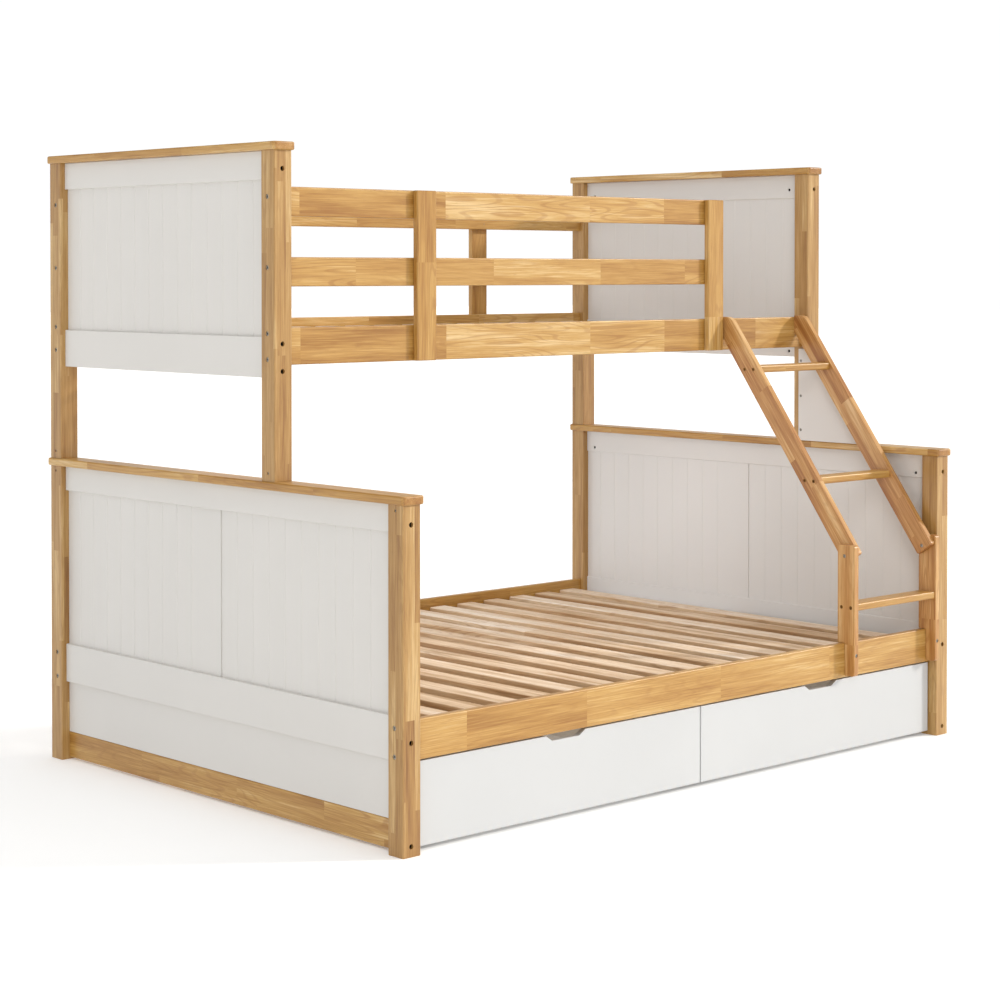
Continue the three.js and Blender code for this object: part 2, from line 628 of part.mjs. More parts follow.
function stile(name, x, faceSide) {
  const height = TOP_GUARD_TOP - UPPER_RAIL_BOTTOM;
  const y = faceSide * (UPPER_WIDTH / 2 - STILE_THICKNESS / 2);
  const geometry = bar("z", STILE_WIDTH, STILE_THICKNESS, height);
  return wood(name, geometry, x, y, UPPER_RAIL_BOTTOM + height / 2);
}

function guards() {
  const y = UPPER_WIDTH / 2 - UPPER_RAIL_SETBACK - RAIL_THICKNESS / 2;
  const stileX = CLEAR_HALF_LENGTH - STILE_INSET;
  return group(
    guard("front_middle_guard", -y, MIDDLE_GUARD_BOTTOM, ENTRY_X),
    guard("front_top_guard", -y, TOP_GUARD_BOTTOM, ENTRY_X),
    guard("back_middle_guard", y, MIDDLE_GUARD_BOTTOM, CLEAR_HALF_LENGTH),
    guard("back_top_guard", y, TOP_GUARD_BOTTOM, CLEAR_HALF_LENGTH),
    stile("front_left_stile", -stileX, -1),
    stile("front_right_stile", ENTRY_X - STILE_WIDTH / 2, -1),
    stile("back_right_stile", stileX, 1),
  );
}

// Ladder, in a frame whose x = 0 is the ladder's middle and whose y and z are the bed's

// The stringer's back edge runs from the foot of its vertical face on the upper side rail down to the
// legs.
function ladderLine() {
  const headY = UPPER_FRONT + UPPER_RAIL_SETBACK;
  const headZ = UPPER_RAIL_TOP + HEAD_RISE - HEAD_HEIGHT;
  const footY = LOWER_FRONT - LEG_PROUD + FOOT_SETBACK;
  const footZ = LOWER_RAIL_TOP + FOOT_HEIGHT;
  const reach = Math.hypot(headY - footY, headZ - footZ);
  const half = LADDER_BOARD_WIDTH / 2;
  const slope = Math.atan2(headZ - footZ, headY - footY) + Math.asin(half / reach);
  return { headY, headZ, slope, length: Math.sqrt(reach * reach - half * half) };
}

// The middle of the stringers' depth at a height.
function ladderMiddleY(z) {
  const { headY, headZ, slope } = ladderLine();
  const backY = headY - (headZ - z) / Math.tan(slope);
  return backY - LADDER_BOARD_WIDTH / 2 / Math.sin(slope);
}

function stringer(name, x) {
  const { headY, headZ, slope, length } = ladderLine();
  const along = [-Math.cos(slope), -Math.sin(slope)];
  const forward = [-Math.sin(slope) * LADDER_BOARD_WIDTH, Math.cos(slope) * LADDER_BOARD_WIDTH];
  const backFoot = [headY + along[0] * length, headZ + along[1] * length];
  const frontFoot = [backFoot[0] + forward[0], backFoot[1] + forward[1]];
  const topZ = headZ + HEAD_HEIGHT;
  const frontTopY = frontFoot[0] + (topZ - frontFoot[1]) / Math.tan(slope);
  const outline = roundedPolygon([
    [headY, headZ],
    [headY, topZ],
    [frontTopY, topZ, HEAD_CORNER_RADIUS],
    [...frontFoot, FOOT_CORNER_RADIUS],
    [...backFoot, FOOT_CORNER_RADIUS],
  ]);
  const geometry = extrudeAlong("x", outline, LADDER_BOARD_THICKNESS, LADDER_EDGE_RADIUS);
  return wood(name, geometry, x, 0, 0);
}

// A leg hooks over the lower side rail: its foot hangs in front of the rail, its step stands on it.
function leg(name, x) {
  const frontY = LOWER_FRONT - LEG_PROUD;
  const railY = LOWER_FRONT + LOWER_RAIL_SETBACK;
  const backY = frontY + LADDER_BOARD_WIDTH;
  const topZ = LOWER_RAIL_TOP + LEG_RISE;
  const bottomZ = LOWER_RAIL_BOTTOM + LEG_BOTTOM_RISE;
  const outline = roundedPolygon([
    [frontY, bottomZ, LEG_CORNER_RADIUS],
    [railY, bottomZ],
    [railY, LOWER_RAIL_TOP],
    [backY, LOWER_RAIL_TOP],
    [backY, topZ, LEG_CORNER_RADIUS],
    [frontY, topZ, LEG_CORNER_RADIUS],
  ]);
  const geometry = extrudeAlong("x", outline, LADDER_BOARD_THICKNESS, LADDER_EDGE_RADIUS);
  return wood(name, geometry, x, 0, 0);
}

function rung(name, length, y, topZ) {
  const geometry = bar("x", length, RUNG_DEPTH, RUNG_THICKNESS, RUNG_EDGE_RADIUS);
  return wood(name, geometry, 0, y, topZ - RUNG_THICKNESS / 2);
}

function ladder() {
  const stringerX = (LADDER_INNER_WIDTH + LADDER_BOARD_THICKNESS) / 2;
  const bottomTop = LOWER_RAIL_TOP + BOTTOM_RUNG_RISE;
  const middleTop = bottomTop + MIDDLE_RUNG_RISE;
  const topTop = UPPER_RAIL_TOP - TOP_RUNG_DROP;
  const rungMiddle = (top) => ladderMiddleY(top - RUNG_THICKNESS / 2);
  const legMiddleY = LOWER_FRONT - LEG_PROUD + LADDER_BOARD_WIDTH / 2;
  const bottomLength = LADDER_INNER_WIDTH + 2 * LADDER_BOARD_THICKNESS;
  const made = group(
    stringer("ladder_left_stringer", -stringerX),
    stringer("ladder_right_stringer", stringerX),
    leg("ladder_left_leg", -LADDER_LEG_X),
    leg("ladder_right_leg", LADDER_LEG_X),
    rung("ladder_bottom_rung", bottomLength, legMiddleY, bottomTop),
    rung("ladder_middle_rung", LADDER_INNER_WIDTH, rungMiddle(middleTop), middleTop),
    rung("ladder_top_rung", LADDER_INNER_WIDTH, rungMiddle(topTop), topTop),
  );
  return at(made, LADDER_X, 0, 0);
}

// A flat board on the inner face of the upper right front post, standing on the lower cap.
function gusset() {
  const backY = UPPER_FRONT + POST_SIDE - GUSSET_INSET;
  const topZ = UPPER_RAIL_BOTTOM - GUSSET_RAIL_GAP;
  const outline = polygon([
    [backY, LOWER_CAP_TOP],
    [backY, topZ],
    [backY - GUSSET_TOP, topZ],
    [backY - GUSSET_BASE, LOWER_CAP_TOP + GUSSET_NOSE],
    [backY - GUSSET_BASE, LOWER_CAP_TOP],
  ]);
  const x = CLEAR_HALF_LENGTH - GUSSET_THICKNESS / 2;
  return white("post_gusset", extrudeAlong("x", outline, GUSSET_THICKNESS), x, 0, 0);
}

// Drawers, in a frame whose origin is on the floor under the middle of the drawer front's front face

function drawerWidth() {
  return CLEAR_HALF_LENGTH - DRAWER_SIDE_GAP - DRAWER_MIDDLE_GAP / 2;
}

function drawerFront(name) {
  const half = drawerWidth() / 2;
  const top = LOWER_RAIL_BOTTOM - DRAWER_TOP_GAP;
  const outline = polygon([
    [-half, DRAWER_FLOOR_GAP],
    [half, DRAWER_FLOOR_GAP],
    [half, top],
    [NOTCH_TOP / 2, top],
    [NOTCH_BOTTOM / 2, top - NOTCH_DEPTH],
    [-NOTCH_BOTTOM / 2, top - NOTCH_DEPTH],
    [-NOTCH_TOP / 2, top],
    [-half, top],
  ]);
  const geometry = extrudeAlong("y", outline, FRONT_THICKNESS, FRONT_EDGE_RADIUS);
  return piece(name, geometry, DRAWER_PAINT, 0, FRONT_THICKNESS / 2, 0);
}

// A bracket under the box: a plate, two cheeks with round ends, and the axle between them.
function wheelBracket(x, y) {
  const innerHalf = WHEEL_WIDTH / 2 + BRACKET_SIDE_GAP;
  const outerHalf = innerHalf + BRACKET_SHEET;
  const plateZ = BOX_BOTTOM - BRACKET_SHEET / 2 + PLATE_SEAT / 2;
  const parts = [box(2 * outerHalf, BRACKET_LENGTH, BRACKET_SHEET + PLATE_SEAT, x, y, plateZ)];
  const cheek = new THREE.Shape();
  cheek.moveTo(-BRACKET_LENGTH / 2, BOX_BOTTOM - BRACKET_SHEET / 2);
  cheek.lineTo(-BRACKET_END_RADIUS, WHEEL_RADIUS);
  cheek.absarc(0, WHEEL_RADIUS, BRACKET_END_RADIUS, Math.PI, 2 * Math.PI, false);
  cheek.lineTo(BRACKET_LENGTH / 2, BOX_BOTTOM - BRACKET_SHEET / 2);
  cheek.closePath();
  for (const side of [-1, 1]) {
    const cheekX = x + side * (innerHalf + BRACKET_SHEET / 2);
    parts.push(extrudeAlong("x", cheek, BRACKET_SHEET).translate(cheekX, y, 0));
  }
  const axleLength = 2 * outerHalf - BRACKET_SHEET;
  parts.push(rod("x", AXLE_RADIUS, axleLength, x - axleLength / 2, y, WHEEL_RADIUS));
  return parts;
}

function wheelPlaces() {
  const x = drawerWidth() / 2 - BOX_INSET - WHEEL_SIDE_INSET;
  const frontY = FRONT_THICKNESS + WHEEL_END_INSET;
  const backY = FRONT_THICKNESS + BOX_DEPTH - WHEEL_END_INSET;
  return [
    ["front_left_wheel", -x, frontY],
    ["front_right_wheel", x, frontY],
    ["back_left_wheel", -x, backY],
    ["back_right_wheel", x, backY],
  ];
}

function drawerBox(name) {
  const width = drawerWidth() - 2 * BOX_INSET;
  const top = LOWER_RAIL_BOTTOM - DRAWER_TOP_GAP - BOX_TOP_DROP;
  const height = top - BOX_BOTTOM;
  const middleY = FRONT_THICKNESS + BOX_DEPTH / 2;
  const outer = box(width, BOX_DEPTH, height, 0, middleY, BOX_BOTTOM + height / 2);
  const hollowHeight = height - BOX_FLOOR + OVERCUT;
  const hollowZ = BOX_BOTTOM + BOX_FLOOR + hollowHeight / 2;
  const hollow = box(width - 2 * BOX_WALL, BOX_DEPTH - 2 * BOX_WALL, hollowHeight, 0, middleY, hollowZ);
  const brackets = wheelPlaces().flatMap(([, x, y]) => wheelBracket(x, y));
  return piece(name, join([cut(outer, [hollow]), ...brackets]), DRAWER_BOARD);
}

// A wheel turned from its half section: bore, hub, web, rim and a tread with rounded edges.
function wheel(name, x, y) {
  const half = WHEEL_WIDTH / 2;
  const boreRadius = AXLE_RADIUS + AXLE_GAP;
  const rimInner = WHEEL_RADIUS - WHEEL_RIM;
  const section = [
    [boreRadius, -half],
    [WHEEL_HUB_RADIUS, -half],
    [WHEEL_HUB_RADIUS, -WHEEL_WEB / 2],
    [rimInner, -WHEEL_WEB / 2],
    [rimInner, -half],
    [WHEEL_RADIUS - WHEEL_TREAD_RADIUS, -half],
    [WHEEL_RADIUS, -half + WHEEL_TREAD_RADIUS],
    [WHEEL_RADIUS, half - WHEEL_TREAD_RADIUS],
    [WHEEL_RADIUS - WHEEL_TREAD_RADIUS, half],
    [rimInner, half],
    [rimInner, WHEEL_WEB / 2],
    [WHEEL_HUB_RADIUS, WHEEL_WEB / 2],
    [WHEEL_HUB_RADIUS, half],
    [boreRadius, half],
    [boreRadius, -half],
  ];
  const points = section.map(([r, along]) => new THREE.Vector2(r, along));
  const geometry = new THREE.LatheGeometry(points, WHEEL_SEGMENTS).rotateZ(-Math.PI / 2);
  return piece(name, geometry, WHEEL_PLASTIC, x, y, WHEEL_RADIUS);
}

function drawer(label, side) {
  const x = (side * (drawerWidth() + DRAWER_MIDDLE_GAP)) / 2;
  const wheels = wheelPlaces().map(([place, wx, wy]) => wheel(`${label}_drawer_${place}`, wx, wy));
  const made = group(drawerFront(`${label}_drawer_front`), drawerBox(`${label}_drawer_box`), ...wheels);
  return at(made, x, LOWER_FRONT + DRAWER_SETBACK, 0);
}

// The single bed stands on the double bed's caps, with the two beds' backs in one plane.
const upperBed = group(upperEnd("left", -1), upperEnd("right", 1), upperDeck(), guards());
upperBed.position.y = (LOWER_WIDTH - UPPER_WIDTH) / 2;

const bed = group(
  lowerEnd("left", -1),
  lowerEnd("right", 1),
  lowerDeck(),
  upperBed,
  ladder(),
  gusset(),
  drawer("left", -1),
  drawer("right", 1),
);

// The ladder's legs reach further forward than the caps, so the bed moves back by half the difference.
const frontReach = Math.max(LEG_PROUD, CAP_END_OVERHANG);
bed.position.y = (frontReach - CAP_END_OVERHANG) / 2;

const bunkBed = new THREE.Group();
bunkBed.add(bed);

export default bunkBed;
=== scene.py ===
"""Single over double bunk bed in lacquered rubberwood and white board, with a ladder and two drawers.

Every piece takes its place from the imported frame, in metres, with the front towards -Y.
"""

import logging
import math
from contextlib import contextmanager
from dataclasses import dataclass, field, replace
from enum import Enum
from functools import cache
from typing import Callable, Iterable, Iterator, Sequence

import bmesh
import bpy
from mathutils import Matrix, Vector

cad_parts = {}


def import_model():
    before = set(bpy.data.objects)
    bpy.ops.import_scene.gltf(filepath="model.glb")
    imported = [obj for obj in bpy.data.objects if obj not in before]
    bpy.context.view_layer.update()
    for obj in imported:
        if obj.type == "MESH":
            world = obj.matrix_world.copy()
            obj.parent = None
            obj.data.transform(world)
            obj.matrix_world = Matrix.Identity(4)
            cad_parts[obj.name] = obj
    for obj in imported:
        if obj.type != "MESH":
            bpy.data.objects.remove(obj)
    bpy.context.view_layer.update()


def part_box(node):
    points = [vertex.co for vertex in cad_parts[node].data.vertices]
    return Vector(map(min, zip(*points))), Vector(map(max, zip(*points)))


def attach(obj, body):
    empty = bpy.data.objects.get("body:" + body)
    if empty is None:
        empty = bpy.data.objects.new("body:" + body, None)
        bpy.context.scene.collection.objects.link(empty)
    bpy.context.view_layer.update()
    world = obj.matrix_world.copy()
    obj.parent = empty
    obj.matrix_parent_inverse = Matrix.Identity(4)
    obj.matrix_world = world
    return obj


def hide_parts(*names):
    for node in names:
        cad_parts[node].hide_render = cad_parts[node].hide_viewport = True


LOG = logging.getLogger("bunk_bed")
ROOT_BODY = "bed_frame"
GUARDS = ("middle", "top")
# Two faces that turn by more than this meet at a corner. By less, they are part of an arc.
SHARP = math.radians(40)
# Two directions are the same when their dot product is more than this.
PARALLEL = 0.999
# How near an edge passes to the point that names it.
CORNER_REACH = 0.004
# How many faces make up the arc of a broken, an eased or a rounded edge, and of a corner.
BROKEN, EASED, ROUNDED, CORNER = 1, 2, 3, 5
# The sides of round bores and bolts, of a hexagon socket or nut, and of the cutter for a V-groove.
ROUND, HEXAGON, SQUARE = 24, 6, 4
# How deep the finest relief of a surface is.
RELIEF_DEPTH = 0.0002

Point = tuple[float, float, float]
Coords = Sequence[float]
Thing = bpy.types.Object
Material = bpy.types.Material
Tree = bpy.types.NodeTree
Socket = bpy.types.NodeSocket
Edge = bmesh.types.BMEdge


class Axis(Enum):
    """The three directions of the bed, by their place in a vector."""

    X = 0
    Y = 1
    Z = 2

    def unit(self) -> Vector:
        """The direction as a unit vector."""
        return Vector([float(place == self.value) for place in range(3)])


class Part(Enum):
    """What edit mode can select in a mesh, by the name of its select mode."""

    EDGES = "EDGE"
    FACES = "FACE"


class Place(Enum):
    """A choice of place on the bed, whose name stands in the names of pieces."""

    @property
    def label(self) -> str:
        """The word that stands for this place in a piece's name."""
        return self.name.lower()

    def outer(self, low: float, high: float) -> float:
        """The one of two coordinates that lies farther out at this place."""
        return high if self.value > 0 else low


class Level(Place):
    """The two beds."""

    LOWER = -1
    UPPER = 1


class Side(Place):
    """The two ends of the bed, with the sign of X on which each lies."""

    LEFT = -1
    RIGHT = 1


class Face(Place):
    """The front and the back of the bed, with the sign of Y on which each lies."""

    FRONT = -1
    BACK = 1


# Mesh work


def deselect_all() -> None:
    """Leaves no object selected, so that an operator acts only on what is picked next."""
    bpy.ops.object.select_all(action="DESELECT")


def make_active(thing: Thing) -> None:
    """Selects one object alone and makes it the active one.

    Args:
        thing: The object.
    """
    deselect_all()
    thing.select_set(True)
    bpy.context.view_layer.objects.active = thing


def settle(thing: Thing) -> None:
    """Puts an object's place, turn and size into its mesh."""
    make_active(thing)
    bpy.ops.object.transform_apply(location=True, rotation=True, scale=True)


def add_block(name: str, low: Coords, high: Coords, turn: Point = (0.0, 0.0, 0.0)) -> Thing:
    """Adds a rectangular block.

    Args:
        name: The piece's name.
        low: Its lowest corner, before its turn.
        high: Its highest corner, before its turn.
        turn: Its turn in radians about its middle.

    Returns:
        The block, with its place in its mesh.
    """
    low, high = Vector(low), Vector(high)
    deselect_all()
    bpy.ops.mesh.primitive_cube_add(size=1, location=(low + high) / 2, rotation=turn)
    block = bpy.context.object
    block.name = name
    block.scale = high - low
    settle(block)
    return block


def add_cylinder(
    name: str, middle: Coords, axis: Axis, radius: float, length: float, sides: int = ROUND
) -> Thing:
    """Adds a cylinder.

    Args:
        name: The piece's name.
        middle: The middle of its axis.
        axis: The direction of its axis.
        radius: Its radius.
        length: Its length.
        sides: How many faces go round it.

    Returns:
        The cylinder, with its place in its mesh.
    """
    turns = {Axis.X: (0, math.pi / 2, 0), Axis.Y: (math.pi / 2, 0, 0), Axis.Z: (0, 0, 0)}
    deselect_all()
    bpy.ops.mesh.primitive_cylinder_add(
        vertices=sides, radius=radius, depth=length, location=middle, rotation=turns[axis]
    )
    cylinder = bpy.context.object
    cylinder.name = name
    settle(cylinder)
    return cylinder


@contextmanager
def selected(thing: Thing, part: Part, test: Callable[..., bool]) -> Iterator[int]:
    """Holds an object in edit mode with only those edges or faces selected that pass a test.

    Args:
        thing: The object to edit.
        part: Whether edges or faces are selected.
        test: Says whether one of them is selected.

    Yields:
        How many of them are selected.
    """
    make_active(thing)
    bpy.ops.object.mode_set(mode="EDIT")
    bpy.ops.mesh.select_mode(type=part.value)
    bpy.ops.mesh.select_all(action="DESELECT")
    mesh = bmesh.from_edit_mesh(thing.data)
    picked = [piece for piece in getattr(mesh, part.name.lower()) if test(piece)]
    for piece in picked:
        piece.select = True
    mesh.select_flush_mode()
    bmesh.update_edit_mesh(thing.data)
    yield len(picked)
    bpy.ops.object.mode_set(mode="OBJECT")


def runs_along(edge: Edge, axis: Axis) -> bool:
    """Whether an edge is parallel to an axis."""
    return abs((edge.verts[1].co - edge.verts[0].co).normalized().dot(axis.unit())) > PARALLEL


def looks(face: bmesh.types.BMFace, direction: Coords) -> bool:
    """Whether a face looks in one direction."""
    return face.normal.dot(Vector(direction)) > PARALLEL


def is_sharp(edge: Edge) -> bool:
    """Whether an edge joins two faces at a corner, and not along an arc."""
    return len(edge.link_faces) == 2 and edge.calc_face_angle(0) > SHARP


def round_edges(thing: Thing, radius: float, segments: int, test: Callable[[Edge], bool] = is_sharp) -> None:
    """Rounds the edges that pass a test.

    Args:
        thing: The piece.
        radius: The radius of the rounding.
        segments: How many faces make up its arc.
        test: Says whether an edge is rounded.
    """
    with selected(thing, Part.EDGES, test) as count:
        if count:
            bpy.ops.mesh.bevel(offset=radius, segments=segments, affect="EDGES", clamp_overlap=True)


def round_corners(thing: Thing, corners: Iterable[Coords], radius: float) -> None:
    """Rounds the edges along X that pass near given points.

    Args:
        thing: The piece.
        corners: A point near each edge. Its X doesn't count.
        radius: The radius of the rounding.
    """
    targets = [Vector(corner).yz for corner in corners]

    def is_near(edge: Edge) -> bool:
        """Whether the edge runs along X and passes one of the points."""
        place = edge.verts[0].co.yz
        return runs_along(edge, Axis.X) and any((place - target).length < CORNER_REACH for target in targets)

    round_edges(thing, radius, CORNER, is_near)


def cut_off(thing: Thing, point: Coords, normal: Coords, clear: bool = True) -> None:
    """Cuts a piece at a plane.

    Args:
        thing: The piece.
        point: A point on the plane.
        normal: The direction that the plane looks in.
        clear: Whether what lies on that side goes, or the piece stays whole with a new line round it.
    """
    with selected(thing, Part.FACES, lambda face: True):
        bpy.ops.mesh.bisect(plane_co=point, plane_no=normal, use_fill=clear, clear_outer=clear)


def join_pieces(name: str, parts: Sequence[Thing]) -> Thing:
    """Makes one object of several.

    Args:
        name: The joined piece's name.
        parts: The objects, each with its place in its mesh.

    Returns:
        The joined object.
    """
    make_active(parts[0])
    for part in parts:
        part.select_set(True)
    if len(parts) > 1:
        bpy.ops.object.join()
    parts[0].name = name
    return parts[0]


def cut_with(thing: Thing, cutters: Sequence[Thing]) -> None:
    """Cuts the shapes of other objects out of a piece, and removes those objects.

    Args:
        thing: The piece.
        cutters: The objects whose shapes are cut out.
    """
    cutter = join_pieces("cutter", cutters)
    make_active(thing)
    cut = thing.modifiers.new("cut", "BOOLEAN")
    cut.operation = "DIFFERENCE"
    cut.solver = "EXACT"
    cut.object = cutter
    bpy.ops.object.modifier_apply(modifier=cut.name)
    bpy.data.objects.remove(cutter)


def copy_to(thing: Thing, name: str, offset: Coords) -> Thing:
    """Copies a piece, with its own mesh, to another place.

    Args:
        thing: The piece to copy.
        name: The copy's name.
        offset: How far the copy lies from it.

    Returns:
        The copy, with its place in its mesh.
    """
    copy = thing.copy()
    copy.data = thing.data.copy()
    copy.name = name
    bpy.context.scene.collection.objects.link(copy)
    copy.location = Vector(offset)
    settle(copy)
    return copy


def add_board(
    name: str,
    low: Coords,
    high: Coords,
    axis: Axis,
    radius: float = 0.003,
    end_radius: float = 0.0006,
) -> Thing:
    """Adds a planed board with its long edges rounded and its end edges just broken.

    Args:
        name: The board's name.
        low: Its lowest corner.
        high: Its highest corner.
        axis: The direction of its length.
        radius: The radius of its long edges.
        end_radius: The radius of its end edges.

    Returns:
        The board.
    """
    board = add_block(name, low, high)
    round_edges(board, radius, ROUNDED, lambda edge: runs_along(edge, axis))
    round_edges(board, end_radius, BROKEN)
    return board


# Finishes


def linear(colour: str) -> tuple[float, float, float, float]:
    """Turns an sRGB hex colour into the linear one that a shader takes.

    Args:
        colour: The colour, such as "#dcbe8a".

    Returns:
        Its linear red, green and blue, and full alpha.
    """
    values = [int(colour[start : start + 2], 16) / 255 for start in (1, 3, 5)]
    made = [v / 12.92 if v <= 0.04045 else ((v + 0.055) / 1.055) ** 2.4 for v in values]
    return (made[0], made[1], made[2], 1.0)


def set_inputs(node: bpy.types.Node, inputs: dict) -> None:
    """Gives a node its inputs.

    Args:
        node: The node.
        inputs: Values, or other nodes' outputs to link, by input name or number.
    """
    for name, value in inputs.items():
        if isinstance(value, Socket):
            node.id_data.links.new(value, node.inputs[name])
        else:
            node.inputs[name].default_value = value


def add_node(tree: Tree, kind: str, inputs: dict, **settings: object) -> bpy.types.NodeOutputs:
    """Adds a shader node with its settings and links.

    Args:
        tree: The material's node tree.
        kind: The node's type, without the word ShaderNode.
        inputs: Values, or other nodes' outputs to link, by input name or number.
        settings: The node's properties by name.

    Returns:
        The node's outputs.
    """
    node = tree.nodes.new(f"ShaderNode{kind}")
    for name, value in settings.items():
        setattr(node, name, value)
    set_inputs(node, inputs)
    return node.outputs


def new_material(name: str) -> tuple[Material, Tree, bpy.types.Node]:
    """Makes a material.

    Args:
        name: Its name.

    Returns:
        The material, its node tree and its shader.
    """
    material = bpy.data.materials.new(name)
    material.use_nodes = True
    return material, material.node_tree, material.node_tree.nodes["Principled BSDF"]


def set_ramp(colour: Socket, stops: Iterable[float], tones: Sequence[str]) -> None:
    """Gives a colour ramp its stops.

    Args:
        colour: The ramp's output.
        stops: The stops' positions.
        tones: Their sRGB hex colours.
    """
    elements = colour.node.color_ramp.elements
    while len(elements) < len(tones):
        elements.new(0.5)
    for element, position, tone in zip(elements, stops, tones):
        element.position = position
        element.color = linear(tone)


@dataclass(frozen=True)
class Strips:
    """How the glued strips lie in a board, across its fibres.

    Attributes:
        width: The width of a strip.
        phase_y: By what share of a strip the joints are moved, across the board.
        phase_z: The same through the board.
    """

    width: float
    phase_y: float
    phase_z: float


@dataclass(frozen=True)
class Grain:
    """The way a board's fibres run.

    Attributes:
        label: The word for this way in a material's name.
        turn: The turn in radians that brings the fibres to X.
        fibre: The fibres' direction.
        strips: How wide boards are glued, with the joints clear of the bed's own boards.
    """

    label: str
    turn: Point
    fibre: Point
    strips: Strips = Strips(0.17, 0.765, 0.853)


GRAINS = {
    Axis.X: Grain("along_x", (0.0, 0.0, 0.0), (1.0, 0.0, 0.0)),
    Axis.Y: Grain("along_y", (0.0, 0.0, -math.pi / 2), (0.0, 1.0, 0.0)),
    Axis.Z: Grain("along_z", (0.0, math.pi / 2, 0.0), (0.0, 0.0, 1.0), Strips(0.17, 0.765, 0.647)),
}
# The wood's figure, each the length and width in millimetres of one feature: streaks of colour,
# bundles of fibres, the arches that growth lines make, their fading in and out, and pores. Fibres,
# growth lines and pores are three to five times as coarse as real ones, because finer ones don't show.
STREAK_MM = (385, 24)
FIBRE_MM = (110, 2.6)
ARCH_MM = (620, 60)
FADE_MM = (333, 40)
PORE_MM = (22, 1.5)
# The phase of the growth lines over an arch's height, which sets them 3 to 6 mm apart, and the part
# of that wave that is drawn as a line.
GROWTH_CONTOUR = 110.0
GROWTH_RIDGE = (0.35, 0.95)
# The part of the pores' noise that is drawn as a pore, from its edge to its middle.
PORE_RANGE = (0.6, 0.78)
# How far each strip's blocks start from its neighbour's, in blocks, how uneven their lengths are, and
# how far each block's figure is moved, in metres. The two moves only need to be longer than a board.
STRIP_SHIFT = 53.0
BLOCK_UNEVENNESS = 0.7
FIGURE_SHIFT = 7.0
# Where the four tones lie, from dark to light.
TONE_STOPS = (0.0, 0.35, 0.65, 1.0)
# Growth lines are at their faintest in blocks whose random number is under the first and full over the
# second, and this is how strong they are at their faintest.
CLEAR_BLOCKS = (0.3, 0.8)
FAINTEST = 0.4
# How squarely a face looks one way when its tint begins to show and when it shows in full.
TINTED_FACES = (0.6, 0.9)
# How strong the finer layers of the wood's noise are.
NOISE_ROUGHNESS = 0.55


@dataclass(frozen=True)
class Rubberwood:
    """Rubberwood glued up from strips of blocks. Each block has its own tone and figure: long brown
    streaks, faint close growth lines and short dark pores under a thin satin lacquer. A share says how
    far blocks, streaks or fibres stray from the mean of the tones, which go from dark to light. The
    tints multiply the colour on end grain, and on the sides of boards along Y as painted shade."""

    name: str
    tones: tuple[str, str, str, str]
    growth: str
    pore: str
    end_tint: str
    # A tint that darkens the sides of boards along Y, as painted shade.
    sawn_tint: str | None = None
    strips: Strips | None = None
    block_length: float = 0.42
    block_share: float = 0.5
    streak_share: float = 1.5
    fibre_share: float = 0.9
    growth_strength: float = 0.2
    pore_strength: float = 0.3
    roughness: float = 0.40
    coat: float = 0.25
    coat_roughness: float = 0.25
    relief: float = 0.2
    ior: float = 1.5

    @cache
    def build(self, grain: Grain) -> Material:
        """Builds the finish, once for each way that fibres run.

        Args:
            grain: The way that they run.

        Returns:
            The material.
        """
        material, tree, shader = new_material(f"{self.name}_{grain.label}")
        figure = Figure(self, grain, tree)
        pores = figure.pores()
        colour = figure.mix(figure.growth_lines(), figure.tone(), self.growth)
        colour = figure.mix(pores, colour, self.pore)
        colour = figure.on_faces(grain.fibre, colour, self.end_tint)
        # On boards along Y, the faces that look along X (the slats' sides) are darkened as painted shade
        # between the slats.
        if self.sawn_tint:
            colour = figure.on_faces((1.0, 0.0, 0.0), colour, self.sawn_tint)
        relief = {"Strength": self.relief, "Distance": RELIEF_DEPTH, "Height": pores}
        normal = add_node(tree, "Bump", relief, invert=True)["Normal"]
        set_inputs(shader, {"Base Color": colour, "Normal": normal, "Roughness": self.roughness})
        coat = {"Coat Weight": self.coat, "Coat Roughness": self.coat_roughness}
        set_inputs(shader, {"IOR": self.ior, **coat})
        return material


